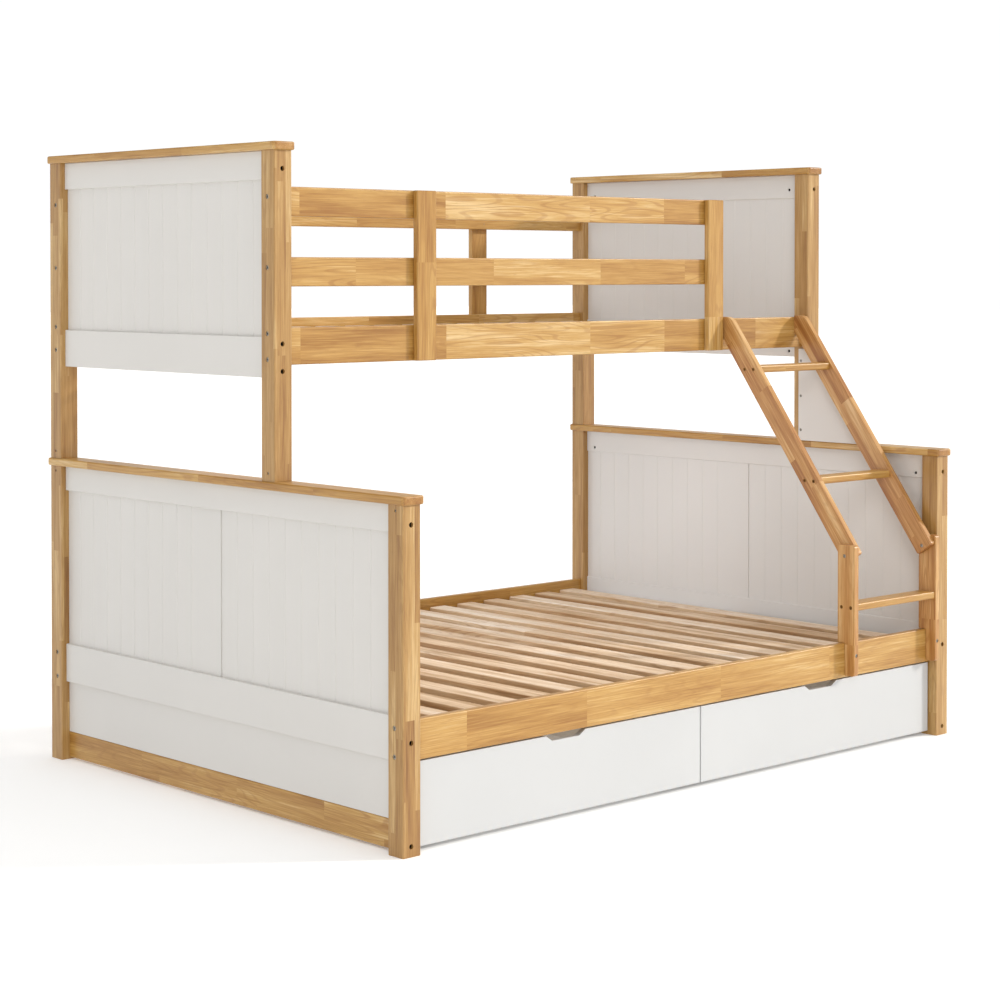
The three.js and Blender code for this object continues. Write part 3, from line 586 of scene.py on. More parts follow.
class Figure:
    """The figure of one wood, drawn in the nodes of one material."""

    def __init__(self, wood: Rubberwood, grain: Grain, tree: Tree) -> None:
        """Lays out the blocks.

        Args:
            wood: The wood.
            grain: The way that its fibres run.
            tree: The material's node tree.
        """
        self.wood = wood
        self.tree = tree
        self.coordinates = add_node(tree, "TexCoord", {})
        turned = {"Vector": self.coordinates["Object"], "Rotation": grain.turn}
        along = add_node(tree, "Mapping", turned)["Vector"]
        self.block = self._block(along, wood.strips or grain.strips)
        moves = {0: self.block["Green"], 1: self.block["Blue"], 2: self.block["Red"]}
        move = add_node(tree, "CombineXYZ", moves)[0]
        far = add_node(tree, "VectorMath", {0: move, "Scale": FIGURE_SHIFT}, operation="SCALE")[0]
        self.place = add_node(tree, "VectorMath", {0: along, 1: far}, operation="ADD")[0]

    def _block(self, along: Socket, strips: Strips) -> bpy.types.NodeOutputs:
        """Draws three random numbers for each glued block, the same all over a block.

        Args:
            along: The place, with the fibres along X.
            strips: How the strips lie across the fibres.

        Returns:
            The numbers, as Red, Green and Blue.
        """
        parts = add_node(self.tree, "SeparateXYZ", {0: along})
        rows = {}
        for row, (name, phase) in enumerate((("Y", strips.phase_y), ("Z", strips.phase_z))):
            across = {0: parts[name], 1: 1 / strips.width, 2: phase}
            scaled = add_node(self.tree, "Math", across, operation="MULTIPLY_ADD")[0]
            rows[row] = add_node(self.tree, "Math", {0: scaled}, operation="FLOOR")[0]
        strip = add_node(self.tree, "CombineXYZ", rows)[0]
        start = add_node(self.tree, "TexWhiteNoise", {"Vector": strip}, noise_dimensions="2D")["Value"]
        offset = add_node(self.tree, "Math", {0: start, 1: STRIP_SHIFT}, operation="MULTIPLY")[0]
        run = {0: parts["X"], 1: 1 / self.wood.block_length, 2: offset}
        length = add_node(self.tree, "Math", run, operation="MULTIPLY_ADD")[0]
        cells = {"W": length, "Scale": 1.0, "Randomness": BLOCK_UNEVENNESS}
        colour = add_node(self.tree, "TexVoronoi", cells, voronoi_dimensions="1D")["Color"]
        return add_node(self.tree, "SeparateColor", {0: colour})

    def _noise(self, size: tuple[float, float], detail: float) -> Socket:
        """Draws noise with features of one size.

        Args:
            size: Their length along the fibres and their width across them, in millimetres.
            detail: How many finer layers lie in them.

        Returns:
            The noise, from 0 to 1.
        """
        scale = (1000 / size[0], 1000 / size[1], 1000 / size[1])
        stretched = add_node(self.tree, "Mapping", {"Vector": self.place, "Scale": scale})[0]
        inputs = {"Vector": stretched, "Scale": 1.0, "Detail": detail, "Roughness": NOISE_ROUGHNESS}
        return add_node(self.tree, "TexNoise", inputs)["Fac"]

    def tone(self) -> Socket:
        """Draws the wood's ground: each block's own tone, long streaks and single fibres.

        Returns:
            The colour.
        """
        wood = self.wood
        sources = (
            (self.block["Red"], wood.block_share),
            (self._noise(STREAK_MM, 4.0), wood.streak_share),
            (self._noise(FIBRE_MM, 2.0), wood.fibre_share),
        )
        total = 0.5 - (wood.block_share + wood.streak_share + wood.fibre_share) / 2
        for source, share in sources:
            total = add_node(self.tree, "Math", {0: source, 1: share, 2: total}, operation="MULTIPLY_ADD")[0]
        colour = add_node(self.tree, "ValToRGB", {"Fac": total})["Color"]
        set_ramp(colour, TONE_STOPS, wood.tones)
        return colour

    def growth_lines(self) -> Socket:
        """Draws growth lines as contours of a smooth noise drawn out along the fibres: straight where
        the saw followed them and nested arches where it crossed them, clear in some blocks and faint
        in the others.

        Returns:
            How far the growth lines' colour shows.
        """
        tree = self.tree
        contour = {0: self._noise(ARCH_MM, 1.0), 1: GROWTH_CONTOUR}
        phase = add_node(tree, "Math", contour, operation="MULTIPLY")[0]
        wave = add_node(tree, "Math", {0: phase}, operation="SINE")[0]
        low, high = GROWTH_RIDGE
        line = {"Value": wave, "From Min": low, "From Max": high}
        ridge = add_node(tree, "MapRange", line, interpolation_type="SMOOTHSTEP")[0]
        low, high = CLEAR_BLOCKS
        clear = {"Value": self.block["Blue"], "From Min": low, "From Max": high, "To Min": FAINTEST}
        shown = add_node(tree, "MapRange", clear)[0]
        for factor in (self._noise(FADE_MM, 2.0), ridge):
            shown = add_node(tree, "Math", {0: factor, 1: shown}, operation="MULTIPLY")[0]
        strength = {0: shown, 1: 2 * self.wood.growth_strength}
        return add_node(tree, "Math", strength, operation="MULTIPLY", use_clamp=True)[0]

    def pores(self) -> Socket:
        """Draws short dark pores. Real ones are a fifth of a millimetre wide, so these are wider.

        Returns:
            How far the pores' colour shows.
        """
        dashes = {"Value": self._noise(PORE_MM, 1.0), "To Max": self.wood.pore_strength}
        low, high = PORE_RANGE
        return add_node(self.tree, "MapRange", {**dashes, "From Min": low, "From Max": high})[0]

    def mix(self, share: Socket, colour: Socket, other: str, blend: str = "MIX") -> Socket:
        """Mixes a colour into the wood's.

        Args:
            share: How far the other colour shows.
            colour: The wood's colour so far.
            other: The other sRGB hex colour.
            blend: How the two are blended.

        Returns:
            The mixed colour.
        """
        # Of the node's inputs 6 and 7 are the colours that it mixes, and of its outputs 2 is.
        inputs = {0: share, 6: colour, 7: linear(other)}
        return add_node(self.tree, "Mix", inputs, data_type="RGBA", blend_type=blend)[2]

    def on_faces(self, direction: Point, colour: Socket, tint: str) -> Socket:
        """Darkens the faces that look one way: on end grain, where open grain soaks up more lacquer and dirt,
        and on the slats' sides, as painted shade between them.

        Args:
            direction: The direction in which the faces look.
            colour: The wood's colour so far.
            tint: The sRGB hex colour that those faces' own colour is multiplied by.

        Returns:
            The colour with those faces darkened.
        """
        look = {0: self.coordinates["Normal"], 1: direction}
        across = add_node(self.tree, "VectorMath", look, operation="DOT_PRODUCT")["Value"]
        size = add_node(self.tree, "Math", {0: across}, operation="ABSOLUTE")[0]
        low, high = TINTED_FACES
        share = add_node(self.tree, "MapRange", {"Value": size, "From Min": low, "From Max": high})[0]
        return self.mix(share, colour, tint, "MULTIPLY")


@dataclass(frozen=True)
class Coating:
    """A finish with no direction: two close tones in soft patches, a gloss that the patches lower and
    raise, and a fine relief. The stops say where in the patches the two tones lie, and the details how
    many finer layers are in the patches and in the relief. A metal keeps the shader's own index of
    refraction."""

    name: str
    tones: tuple[str, str]
    stops: tuple[float, float] = (0.3, 0.7)
    patch_mm: float = 400.0
    patch_detail: float = 3.0
    roughness: float = 0.42
    gloss: tuple[float, float] = (-0.05, 0.05)
    relief_mm: float = 2.381
    relief_detail: float = 2.0
    relief: float = 0.12
    ior: float = 1.5
    metal: bool = False

    @cache
    def build(self) -> Material:
        """Builds the finish, once.

        Returns:
            The material.
        """
        material, tree, shader = new_material(self.name)
        place = add_node(tree, "TexCoord", {})["Object"]
        patches = {"Vector": place, "Scale": 1000 / self.patch_mm, "Detail": self.patch_detail}
        patch = add_node(tree, "TexNoise", patches)["Fac"]
        colour = add_node(tree, "ValToRGB", {"Fac": patch})["Color"]
        set_ramp(colour, self.stops, self.tones)
        shine = self.roughness
        if any(self.gloss):
            low, high = (self.roughness + change for change in self.gloss)
            shine = add_node(tree, "MapRange", {"Value": patch, "To Min": low, "To Max": high})[0]
        set_inputs(shader, {"Base Color": colour, "Roughness": shine})
        set_inputs(shader, {"Metallic": 1.0} if self.metal else {"IOR": self.ior})
        if self.relief:
            bumps = {"Vector": place, "Scale": 1000 / self.relief_mm, "Detail": self.relief_detail}
            height = add_node(tree, "TexNoise", bumps)["Fac"]
            relief = {"Strength": self.relief, "Distance": RELIEF_DEPTH, "Height": height}
            set_inputs(shader, {"Normal": add_node(tree, "Bump", relief)["Normal"]})
        return material


@dataclass(frozen=True)
class WovenTape:
    """Threads over and under each other, drawn 1.5 mm wide so they show. The tones are those of the
    gaps and of the threads."""

    name: str
    tones: tuple[str, str]
    thread_mm: float = 1.5
    relief: float = 0.4
    roughness: float = 0.85

    @cache
    def build(self) -> Material:
        """Builds the finish, once.

        Returns:
            The material.
        """
        material, tree, shader = new_material(self.name)
        place = add_node(tree, "TexCoord", {})["Object"]
        # A wave at scale 1 has ten bands to half a metre.
        waves = {"Vector": place, "Scale": 1000 / (20 * self.thread_mm)}
        bands = [add_node(tree, "TexWave", waves, bands_direction=way)["Fac"] for way in ("X", "Y")]
        weave = add_node(tree, "Math", {0: bands[0], 1: bands[1]}, operation="MULTIPLY")[0]
        colour = add_node(tree, "ValToRGB", {"Fac": weave})["Color"]
        set_ramp(colour, (0.0, 0.5), self.tones)
        relief = {"Strength": self.relief, "Distance": 2 * RELIEF_DEPTH, "Height": weave}
        normal = add_node(tree, "Bump", relief)["Normal"]
        set_inputs(shader, {"Base Color": colour, "Normal": normal, "Roughness": self.roughness})
        return material


# Boards of glued rubberwood: a warm honey colour that changes from block to block, with brown
# streaks, close growth lines and the soft shine of a satin lacquer.
BOARD_WOOD = Rubberwood(
    "lacquered_board",
    tones=("#956422", "#b1833d", "#c29853", "#dcbe8a"),
    growth="#925c20",
    pore="#835629",
    end_tint="#e9ddd6",
    block_share=0.42,
    streak_share=1.3,
    growth_strength=0.32,
)
# The ladder's narrow boards, from shorter blocks: livelier and a little redder than the wide ones.
LADDER_WOOD = replace(
    BOARD_WOOD,
    name="lacquered_ladder",
    tones=("#98612c", "#b58146", "#c99c60", "#dcb988"),
    block_length=0.34,
    block_share=0.6,
    streak_share=2.0,
    growth_strength=0.34,
)
# Posts glued from narrow strips: browner and quieter than the boards, with joints down their sides.
POST_WOOD = Rubberwood(
    name="lacquered_post",
    tones=("#845827", "#a57b41", "#b68f55", "#d2b27d"),
    growth="#825624",
    pore="#775329",
    end_tint="#e0d7d0",
    strips=Strips(0.026, 0.67, 0.65),
    block_share=0.4,
    streak_share=1.35,
)
# Planed slats with no lacquer: pale, dry and matt, with their sides darkened as painted shade between the
# slats.
BARE_WOOD = Rubberwood(
    name="bare_slat",
    tones=("#b8966f", "#dabf9f", "#e6d0b6", "#f2e4d2"),
    growth="#a77c50",
    pore="#9a7248",
    end_tint="#dfd2c5",
    sawn_tint="#dbcab2",
    strips=Strips(0.110875, 0.5, 0.25),
    block_length=6.0,
    streak_share=2.0,
    growth_strength=0.3,
    roughness=0.62,
    coat=0.0,
)
# Satin paint sprayed on fibreboard: an even, warm white that the spray's faint dimples soften.
PANEL_PAINT = Coating("satin_panel_paint", ("#d6d3ce", "#d9d6d1"))
# The drawer fronts' paint: a cooler white with a little more shine.
DRAWER_PAINT = replace(PANEL_PAINT, name="satin_drawer_paint", tones=("#c4c5c5", "#c7c8c8"), roughness=0.36)
# Printed foil on the drawers' boards: a creamy white, duller than the paint.
DRAWER_FOIL = replace(PANEL_PAINT, name="drawer_foil", tones=("#e9e6df", "#eeebe5"), roughness=0.5)
# Zinc-plated steel: a bright grey metal, a little uneven where the plating is thin.
ZINC = Coating(
    name="zinc_plated_steel",
    tones=("#8a847a", "#b0aba2"),
    stops=(0.35, 0.65),
    patch_mm=3.333,
    roughness=0.36,
    gloss=(-0.08, 0.12),
    relief=0.0,
    metal=True,
)
# Blackened steel whose near-black is partly painted shade of a deep bore: a dark dot at the bottom of the bore.
BLACK_STEEL_WITH_BORE_SHADE = replace(ZINC, name="blackened_steel", tones=("#221f1c", "#34312d"), roughness=0.5)
# Steel whose brown colour is a painted reflection of the warm lacquered wood round it: brown heads that hardly
# stand out from the wood.
WOOD_REFLECTION_STEEL = replace(ZINC, name="bronzed_steel", tones=("#6f5232", "#9c784a"), roughness=0.52)
# Moulded polypropylene: a matt black with the fine grain of its mould and paler scuffs.
WHEEL_PLASTIC = Coating(
    name="black_polypropylene",
    tones=("#1c1c1e", "#3a3a3c"),
    stops=(0.45, 0.85),
    patch_mm=11.11,
    patch_detail=4.0,
    roughness=0.5,
    gloss=(0.0, 0.0),
    relief_mm=0.6667,
    relief_detail=1.0,
    relief=0.2,
    ior=1.49,
)
# Woven polyester: a pale, matt cloth with a fine check of threads.
SLAT_TAPE = WovenTape("woven_slat_tape", ("#b0aca2", "#d9d6ce"))


class Slot(Enum):
    """The record's material slots."""

    WOOD = "lacquered_wood"
    WHITE = "white_paint"
    SLATS = "bare_slats"
    FRONT = "drawer_paint"
    BOX = "drawer_board"
    WHEEL = "wheel_plastic"


def finish_piece(
    piece: Thing, material: Material, stands_for: str = "", body: str = ROOT_BODY
) -> None:
    """Smooths a piece's arcs, gives it its finish and ties it to the frame.

    Args:
        piece: The piece, with its place in its mesh.
        material: Its finish.
        stands_for: The frame's node that it is shown instead of, if there is one.
        body: The body that it moves with.
    """
    make_active(piece)
    bpy.ops.object.shade_smooth_by_angle(angle=SHARP)
    flatten = piece.modifiers.new("flat_faces", "WEIGHTED_NORMAL")
    flatten.keep_sharp = True
    bpy.ops.object.modifier_apply(modifier=flatten.name)
    piece.data.materials.clear()
    piece.data.materials.append(material)
    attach(piece, body)
    if stands_for:
        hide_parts(stands_for)
    LOG.info("%s: %d faces", piece.name, len(piece.data.polygons))


def finish_wood(piece: Thing, axis: Axis, stands_for: str, wood: Rubberwood = BOARD_WOOD) -> None:
    """Finishes a wooden piece of the fixed frame.

    Args:
        piece: The piece.
        axis: The axis that its fibres run along.
        stands_for: The frame's node that it is shown instead of, if there is one.
        wood: Its finish.
    """
    finish_piece(piece, wood.build(GRAINS[axis]), stands_for)


def show_as_board(name: str, axis: Axis, radius: float = 0.003) -> None:
    """Shows a node of the frame as one lacquered board of its own size.

    Args:
        name: The node's name.
        axis: The axis that the board and its fibres run along.
        radius: The radius of its long edges.
    """
    finish_wood(add_board(f"{name}_wood", *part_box(name), axis, radius), axis, name)


@dataclass(frozen=True)
class Bore:
    """A blind bore with a fastener's head at its bottom.

    Attributes:
        mouth: The middle of its mouth, on the face that it is drilled into.
        axis: The direction of the bore.
        outward: The sign along that direction in which the face looks.
        radius: The bore's radius.
        sunk: How deep the head's top lies.
    """

    mouth: Point
    axis: Axis
    outward: int
    radius: float = 0.006
    sunk: float = 0.0012

    def out(self) -> Vector:
        """The direction in which the bore opens."""
        return self.axis.unit() * self.outward


@dataclass
class Fasteners:
    """Drills bores into a piece and puts socket-headed bolts into them. A head of each size and
    direction is modelled once, at the origin, and copied to its bores."""

    overcut: float = 0.001
    head_height: float = 0.003
    side_gap: float = 0.0004
    rim: float = 0.0005
    socket_share: float = 0.55
    socket_depth: float = 0.0022
    near_top: float = 0.0001
    patterns: dict[tuple[Axis, int, float], Thing] = field(default_factory=dict)

    def drill(self, piece: Thing, bores: Sequence[Bore]) -> None:
        """Cuts bores out of a piece, each deep enough for its head.

        Args:
            piece: The piece.
            bores: The bores.
        """
        cutters = []
        for bore in bores:
            depth = bore.sunk + self.head_height
            middle = Vector(bore.mouth) + bore.out() * (self.overcut - depth) / 2
            cutters.append(add_cylinder("bore", middle, bore.axis, bore.radius, depth + self.overcut))
        cut_with(piece, cutters)

    def bolts(self, name: str, bores: Sequence[Bore], metal: Coating = ZINC) -> None:
        """Puts a bolt into each bore.

        Args:
            name: The name of the set of bolts.
            bores: The bores.
            metal: The bolts' finish.
        """
        tops = [Vector(bore.mouth) - bore.out() * bore.sunk for bore in bores]
        heads = [copy_to(self._pattern(bore), "bolt", top) for bore, top in zip(bores, tops)]
        finish_piece(join_pieces(name, heads), metal.build())

    def clear(self) -> None:
        """Removes the heads that the bolts were copied from."""
        for pattern in self.patterns.values():
            bpy.data.objects.remove(pattern)
        self.patterns.clear()

    def _pattern(self, bore: Bore) -> Thing:
        """Models the head for bores like one bore, where there is none yet.

        Args:
            bore: The bore.

        Returns:
            The head, with a hexagon socket and its top at the origin.
        """
        key = (bore.axis, bore.outward, bore.radius)
        if key not in self.patterns:
            out = bore.out()
            radius = bore.radius - self.side_gap
            middle = -out * self.head_height / 2
            head = add_cylinder("bolt_pattern", middle, bore.axis, radius, self.head_height)

            def is_on_top(edge: Edge) -> bool:
                """Whether an edge lies round the head's top."""
                return all(abs(vert.co.dot(out)) < self.near_top for vert in edge.verts)

            round_edges(head, self.rim, EASED, is_on_top)
            middle = out * (self.overcut - self.socket_depth) / 2
            radius *= self.socket_share
            depth = self.socket_depth + self.overcut
            cut_with(head, [add_cylinder("socket", middle, bore.axis, radius, depth, HEXAGON)])
            self.patterns[key] = head
        return self.patterns[key]


# The bed's sub-assemblies


@dataclass
class EndPanel:
    """One end of one bed: two posts, a cap, white rails and a beaded sheet, and under the double bed
    a white skirt and a wooden bottom rail."""

    level: Level
    side: Side
    fasteners: Fasteners
    cap_corner: float = 0.009
    cap_edge: float = 0.004
    rail_thickness: float = 0.020
    paint_edge: float = 0.0018
    side_bolt_inset: float = 0.014
    guard_bolt_height: float = 0.045
    top_bolt_drop: float = 0.044
    skirt_bolt_height: float = 0.046
    bottom_bolt_height: float = 0.018
    panel_bolt_inset: float = 0.016
    deep: float = 0.006
    nut_radius: float = 0.0045
    nut_inset: float = 0.034
    nut_sunk: float = 0.002
    lower_nut_drop: float = 0.052
    upper_nut_drop: float = 0.044
    foot_screw_radius: float = 0.0035
    foot_screw_rise: float = 0.0195
    head_screw_drop: float = 0.013
    bead_pitch: float = 0.063
    outer_bead_depth: float = 0.0020
    inner_bead_depth: float = 0.0009
    bead_margin: float = 0.012
    seam_offset: float = -0.016
    seam_width: float = 0.007
    seam_outer_depth: float = 0.0032
    seam_inner_depth: float = 0.0026
    skirt_edge: float = 0.0008
    skirt_gap: float = 0.0003
    skirt_lap: float = 0.001
    overcut: float = 0.002

    def name(self, part: str) -> str:
        """The full name of one of this end's pieces."""
        return f"{self.level.label}_{self.side.label}_{part}"

    def build(self) -> None:
        """Builds every piece of this end."""
        for face in Face:
            self._post(face)
        self._cap()
        self._white_rail("top_rail")
        self._sheet()
        if self.level is Level.LOWER:
            self._skirt()
            show_as_board(self.name("bottom_rail"), Axis.Y)
        else:
            self._white_rail("bottom_rail")

    def _post(self, face: Face) -> None:
        """Builds a square post. Bolts go through its outer face into the long rails and, deeper, through
        its front or back into the end's own rails. A screw is near where the lower and upper post meet.

        Args:
            face: The face of the bed that it stands at.
        """
        name = self.name(f"{face.label}_post")
        low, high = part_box(name)
        rail_low, rail_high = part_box(f"{self.level.label}_{face.label}_side_rail")
        bottom_low, bottom_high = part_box(self.name("bottom_rail"))
        top_low, top_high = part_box(self.name("top_rail"))
        rails = [rail_low.z + self.side_bolt_inset, rail_high.z - self.side_bolt_inset]
        if self.level is Level.UPPER:
            screw_z = low.z + self.foot_screw_rise
            guards = [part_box(f"{face.label}_{guard}_guard")[0] for guard in GUARDS]
            rails += [guard.z + self.guard_bolt_height for guard in guards]
            ends = [bottom_low.z + self.panel_bolt_inset, bottom_high.z - self.panel_bolt_inset]
        else:
            screw_z = high.z - self.head_screw_drop
            ends = [bottom_low.z + self.bottom_bolt_height, rail_low.z + self.skirt_bolt_height]
        out = self.side.value
        x, y = self.side.outer(low.x, high.x), face.outer(low.y, high.y)
        rail_y = face.outer(rail_low.y, rail_high.y) - face.value * self.rail_thickness / 2
        bores = [Bore((x, rail_y, z), Axis.X, out) for z in rails]
        bores.append(Bore((x, (low.y + high.y) / 2, screw_z), Axis.X, out, self.foot_screw_radius))
        end_x = (top_low.x + top_high.x) / 2
        ends.append(high.z - self.top_bolt_drop)
        end_bores = [Bore((end_x, y, z), Axis.Y, face.value, sunk=self.deep) for z in ends]
        post = add_board(f"{name}_wood", low, high, Axis.Z)
        self.fasteners.drill(post, bores + end_bores)
        finish_wood(post, Axis.Z, name, POST_WOOD)
        self.fasteners.bolts(f"{name}_bolts", bores)
        self.fasteners.bolts(f"{name}_end_bolts", end_bores, BLACK_STEEL_WITH_BORE_SHADE)

    def _cap(self) -> None:
        """Builds the cap board, with its corners rounded in plan and its edges rounded all round."""
        name = self.name("cap")
        cap = add_block(f"{name}_wood", *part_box(name))
        round_edges(cap, self.cap_corner, CORNER, lambda edge: runs_along(edge, Axis.Z))
        round_edges(cap, self.cap_edge, ROUNDED)
        finish_wood(cap, Axis.Y, name)

    def _white_rail(self, part: str) -> None:
        """Builds a painted rail, with a barrel nut in its inner face beside each post.

        Args:
            part: The rail's name at this end.
        """
        name = self.name(part)
        low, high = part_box(name)
        height = high.z - (self.lower_nut_drop if self.level is Level.LOWER else self.upper_nut_drop)
        if part == "bottom_rail":
            height = low.z + self.panel_bolt_inset
        x = self.side.outer(high.x, low.x)
        nuts = [
            Bore((x, y, height), Axis.X, -self.side.value, self.nut_radius, self.nut_sunk)
            for y in (low.y + self.nut_inset, high.y - self.nut_inset)
        ]
        rail = add_board(f"{name}_board", low, high, Axis.Y, self.paint_edge)
        self.fasteners.drill(rail, nuts)
        self.fasteners.bolts(f"{name}_nuts", nuts, BLACK_STEEL_WITH_BORE_SHADE)
        finish_piece(rail, PANEL_PAINT.build(), name)

    def _bead_places(self, low: Vector, high: Vector) -> tuple[list[float], list[float]]:
        """Places a sheet's beads and seams. A double bed's end has two sheets that meet at a seam,
        with a plain stretch behind it.

        Args:
            low: The sheet's lowest corner.
            high: Its highest corner.

        Returns:
            Where along Y the beads and the seams lie.
        """
        jointed = self.level is Level.LOWER
        start = (low.y + high.y) / 2 + (self.seam_offset if jointed else 0.0)
        first = math.ceil((low.y + self.bead_margin - start) / self.bead_pitch)
        last = math.floor((high.y - self.bead_margin - start) / self.bead_pitch)
        plain = (0, 1) if jointed else ()
        beads = [start + number * self.bead_pitch for number in range(first, last + 1) if number not in plain]
        return beads, [start] if jointed else []

    def _sheet(self) -> None:
        """Builds the thin painted sheet with V-shaped beads down both faces."""
        name = self.name("beadboard")
        low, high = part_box(name)
        beads, seams = self._bead_places(low, high)
        sheet = add_block(f"{name}_sheet", low, high)
        middle_z = (low.z + high.z) / 2
        height = high.z - low.z + 2 * self.overcut
        cutters = []
        for x in (low.x, high.x):
            outer = x == self.side.outer(low.x, high.x)
            depth = self.outer_bead_depth if outer else self.inner_bead_depth
            first = add_cylinder("bead", (x, beads[0], middle_z), Axis.Z, depth, height, SQUARE)
            cutters.append(first)
            cutters += [copy_to(first, "bead", (0.0, y - beads[0], 0.0)) for y in beads[1:]]
            depth = self.seam_outer_depth if outer else self.seam_inner_depth
            half = Vector((depth, self.seam_width / 2, height / 2))
            for y in seams:
                place = Vector((x, y, middle_z))
                cutters.append(add_block("seam", place - half, place + half))
        cut_with(sheet, cutters)
        finish_piece(sheet, PANEL_PAINT.build(), name)

    def _skirt(self) -> None:
        """Builds the painted rail with the flat skirt below it."""
        name = self.name("skirt")
        low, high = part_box(name)
        rail_low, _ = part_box("lower_front_side_rail")
        _, bottom_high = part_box(self.name("bottom_rail"))
        sheet_low, sheet_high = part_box(self.name("beadboard"))
        rail = add_board(f"{name}_board", (low.x, low.y, rail_low.z), high, Axis.Y, self.paint_edge)
        skirt_low = (sheet_low.x, low.y, bottom_high.z + self.skirt_gap)
        skirt_high = (sheet_high.x, high.y, rail_low.z + self.skirt_lap)
        skirt = add_board("skirt", skirt_low, skirt_high, Axis.Y, self.skirt_edge)
        finish_piece(join_pieces(f"{name}_board", [rail, skirt]), PANEL_PAINT.build(), name)


@dataclass
class Deck:
    """The side rails, ledgers and slats of one bed."""

    level: Level
    rail_thickness: float = 0.020
    ledger_width: float = 0.020
    ledger_height: float = 0.030
    ledger_end_gap: float = 0.002
    ledger_edge: float = 0.0015
    slat_count: int = 17
    slat_width: float = 0.063
    slat_thickness: float = 0.018
    slat_edge: float = 0.004
    slat_end_edge: float = 0.001
    tape_width: float = 0.025
    tape_thickness: float = 0.0015
    tape_inset: float = 0.070
    tape_edge: float = 0.0004
    tape_end_edge: float = 0.0003
    beam_width: float = 0.040
    beam_height: float = 0.060

    def build(self) -> None:
        """Builds the rails, the slats and, under the double bed, the beam."""
        for face in Face:
            self._side_rail(face)
        self._slats()
        if self.level is Level.LOWER:
            self._beam()

    def _side_rail(self, face: Face) -> None:
        """Builds a side rail with the ledger that is screwed to its inner face.

        Args:
            face: The face of the bed that it is at.
        """
        name = f"{self.level.label}_{face.label}_side_rail"
        low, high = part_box(name)
        _, slats_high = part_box(f"{self.level.label}_slats")
        outer = face.outer(low.y, high.y)
        inner = outer - face.value * self.rail_thickness
        ledge = inner - face.value * self.ledger_width
        near, far = sorted((outer, inner))
        rail = add_board(f"{name}_wood", (low.x, near, low.z), (high.x, far, high.z), Axis.X)
        near, far = sorted((inner, ledge))
        top = slats_high.z - self.slat_thickness
        ledger_low = (low.x + self.ledger_end_gap, near, top - self.ledger_height)
        ledger_high = (high.x - self.ledger_end_gap, far, top)
        ledger = add_board("ledger", ledger_low, ledger_high, Axis.X, self.ledger_edge)
        finish_wood(join_pieces(f"{name}_wood", [rail, ledger]), Axis.X, name)

    def _slats(self) -> None:
        """Builds the slats, one shape copied along the bed, and the two tapes that space them."""
        name = f"{self.level.label}_slats"
        low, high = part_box(name)
        under = high.z - self.slat_thickness
        pitch = (high.x - low.x - self.slat_width) / (self.slat_count - 1)
        corners = (low.x, low.y, under), (low.x + self.slat_width, high.y, high.z)
        first = add_board(f"{name}_wood", *corners, Axis.Y, self.slat_edge, self.slat_end_edge)
        copies = [copy_to(first, "slat", (place * pitch, 0.0, 0.0)) for place in range(1, self.slat_count)]
        slats = join_pieces(f"{name}_wood", [first, *copies])
        finish_piece(slats, BARE_WOOD.build(GRAINS[Axis.Y]), name)
        tapes = []
        half = self.tape_width / 2
        for y in (low.y + self.tape_inset, high.y - self.tape_inset):
            corners = (low.x, y - half, under - self.tape_thickness), (high.x, y + half, under)
            tapes.append(add_board("tape", *corners, Axis.X, self.tape_edge, self.tape_end_edge))
        finish_piece(join_pieces(f"{name}_tapes", tapes), SLAT_TAPE.build())

    def _beam(self) -> None:
        """Builds the beam under the middle of the double bed, and its leg."""
        low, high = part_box("centre_beam")
        under = high.z - self.beam_height
        beam = add_board("beam", (low.x, low.y, under), high, Axis.X)
        middle = (low.x + high.x) / 2
        half = self.beam_width / 2
        leg = add_board("leg", (middle - half, low.y, low.z), (middle + half, high.y, under), Axis.Z)
        finish_wood(join_pieces("centre_beam_wood", [beam, leg]), Axis.X, "centre_beam")


@dataclass
class GuardRails:
    """The guard rails round the single bed and the stiles that join them to the side rails."""

    fasteners: Fasteners
    screw_radius: float = 0.0035
    screw_inset: float = 0.016
    stile_edge: float = 0.004
    stile_end_edge: float = 0.0015

    def build(self) -> None:
        """Builds the guards, the stiles and their screws."""
        for face in Face:
            for guard in GUARDS:
                show_as_board(f"{face.label}_{guard}_guard", Axis.X)
        # The stiles follow each other round the bed.
        for face, sides in ((Face.FRONT, (Side.LEFT, Side.RIGHT)), (Face.BACK, (Side.RIGHT, Side.LEFT))):
            for side in sides:
                self._stile(face, side)

    def _stile(self, face: Face, side: Side) -> None:
        """Builds a stile and the screws that go through it into the rails. The back left one has no
        node in the frame, so it mirrors the back right one.

        Args:
            face: The face of the bed that it is at.
            side: The end that it is nearer to.
        """
        name = stands_for = f"{face.label}_{side.label}_stile"
        if (face, side) == (Face.BACK, Side.LEFT):
            stands_for = ""
            near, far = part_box("back_right_stile")
            low, high = Vector((-far.x, near.y, near.z)), Vector((-near.x, far.y, far.z))
        else:
            low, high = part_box(name)
        stile = add_board(f"{name}_wood", low, high, Axis.Z, self.stile_edge, self.stile_end_edge)
        finish_wood(stile, Axis.Z, stands_for)
        guards = [f"{face.label}_{guard}_guard" for guard in GUARDS]
        guard_low, guard_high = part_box(guards[-1])
        x, y = (low.x + high.x) / 2, face.outer(guard_high.y, guard_low.y)
        screws = []
        for rail in (f"upper_{face.label}_side_rail", *guards):
            rail_low, rail_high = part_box(rail)
            for z in (rail_low.z + self.screw_inset, rail_high.z - self.screw_inset):
                screws.append(Bore((x, y, z), Axis.Y, -face.value, self.screw_radius, 0.0))
        self.fasteners.bolts(f"{name}_screws", screws)


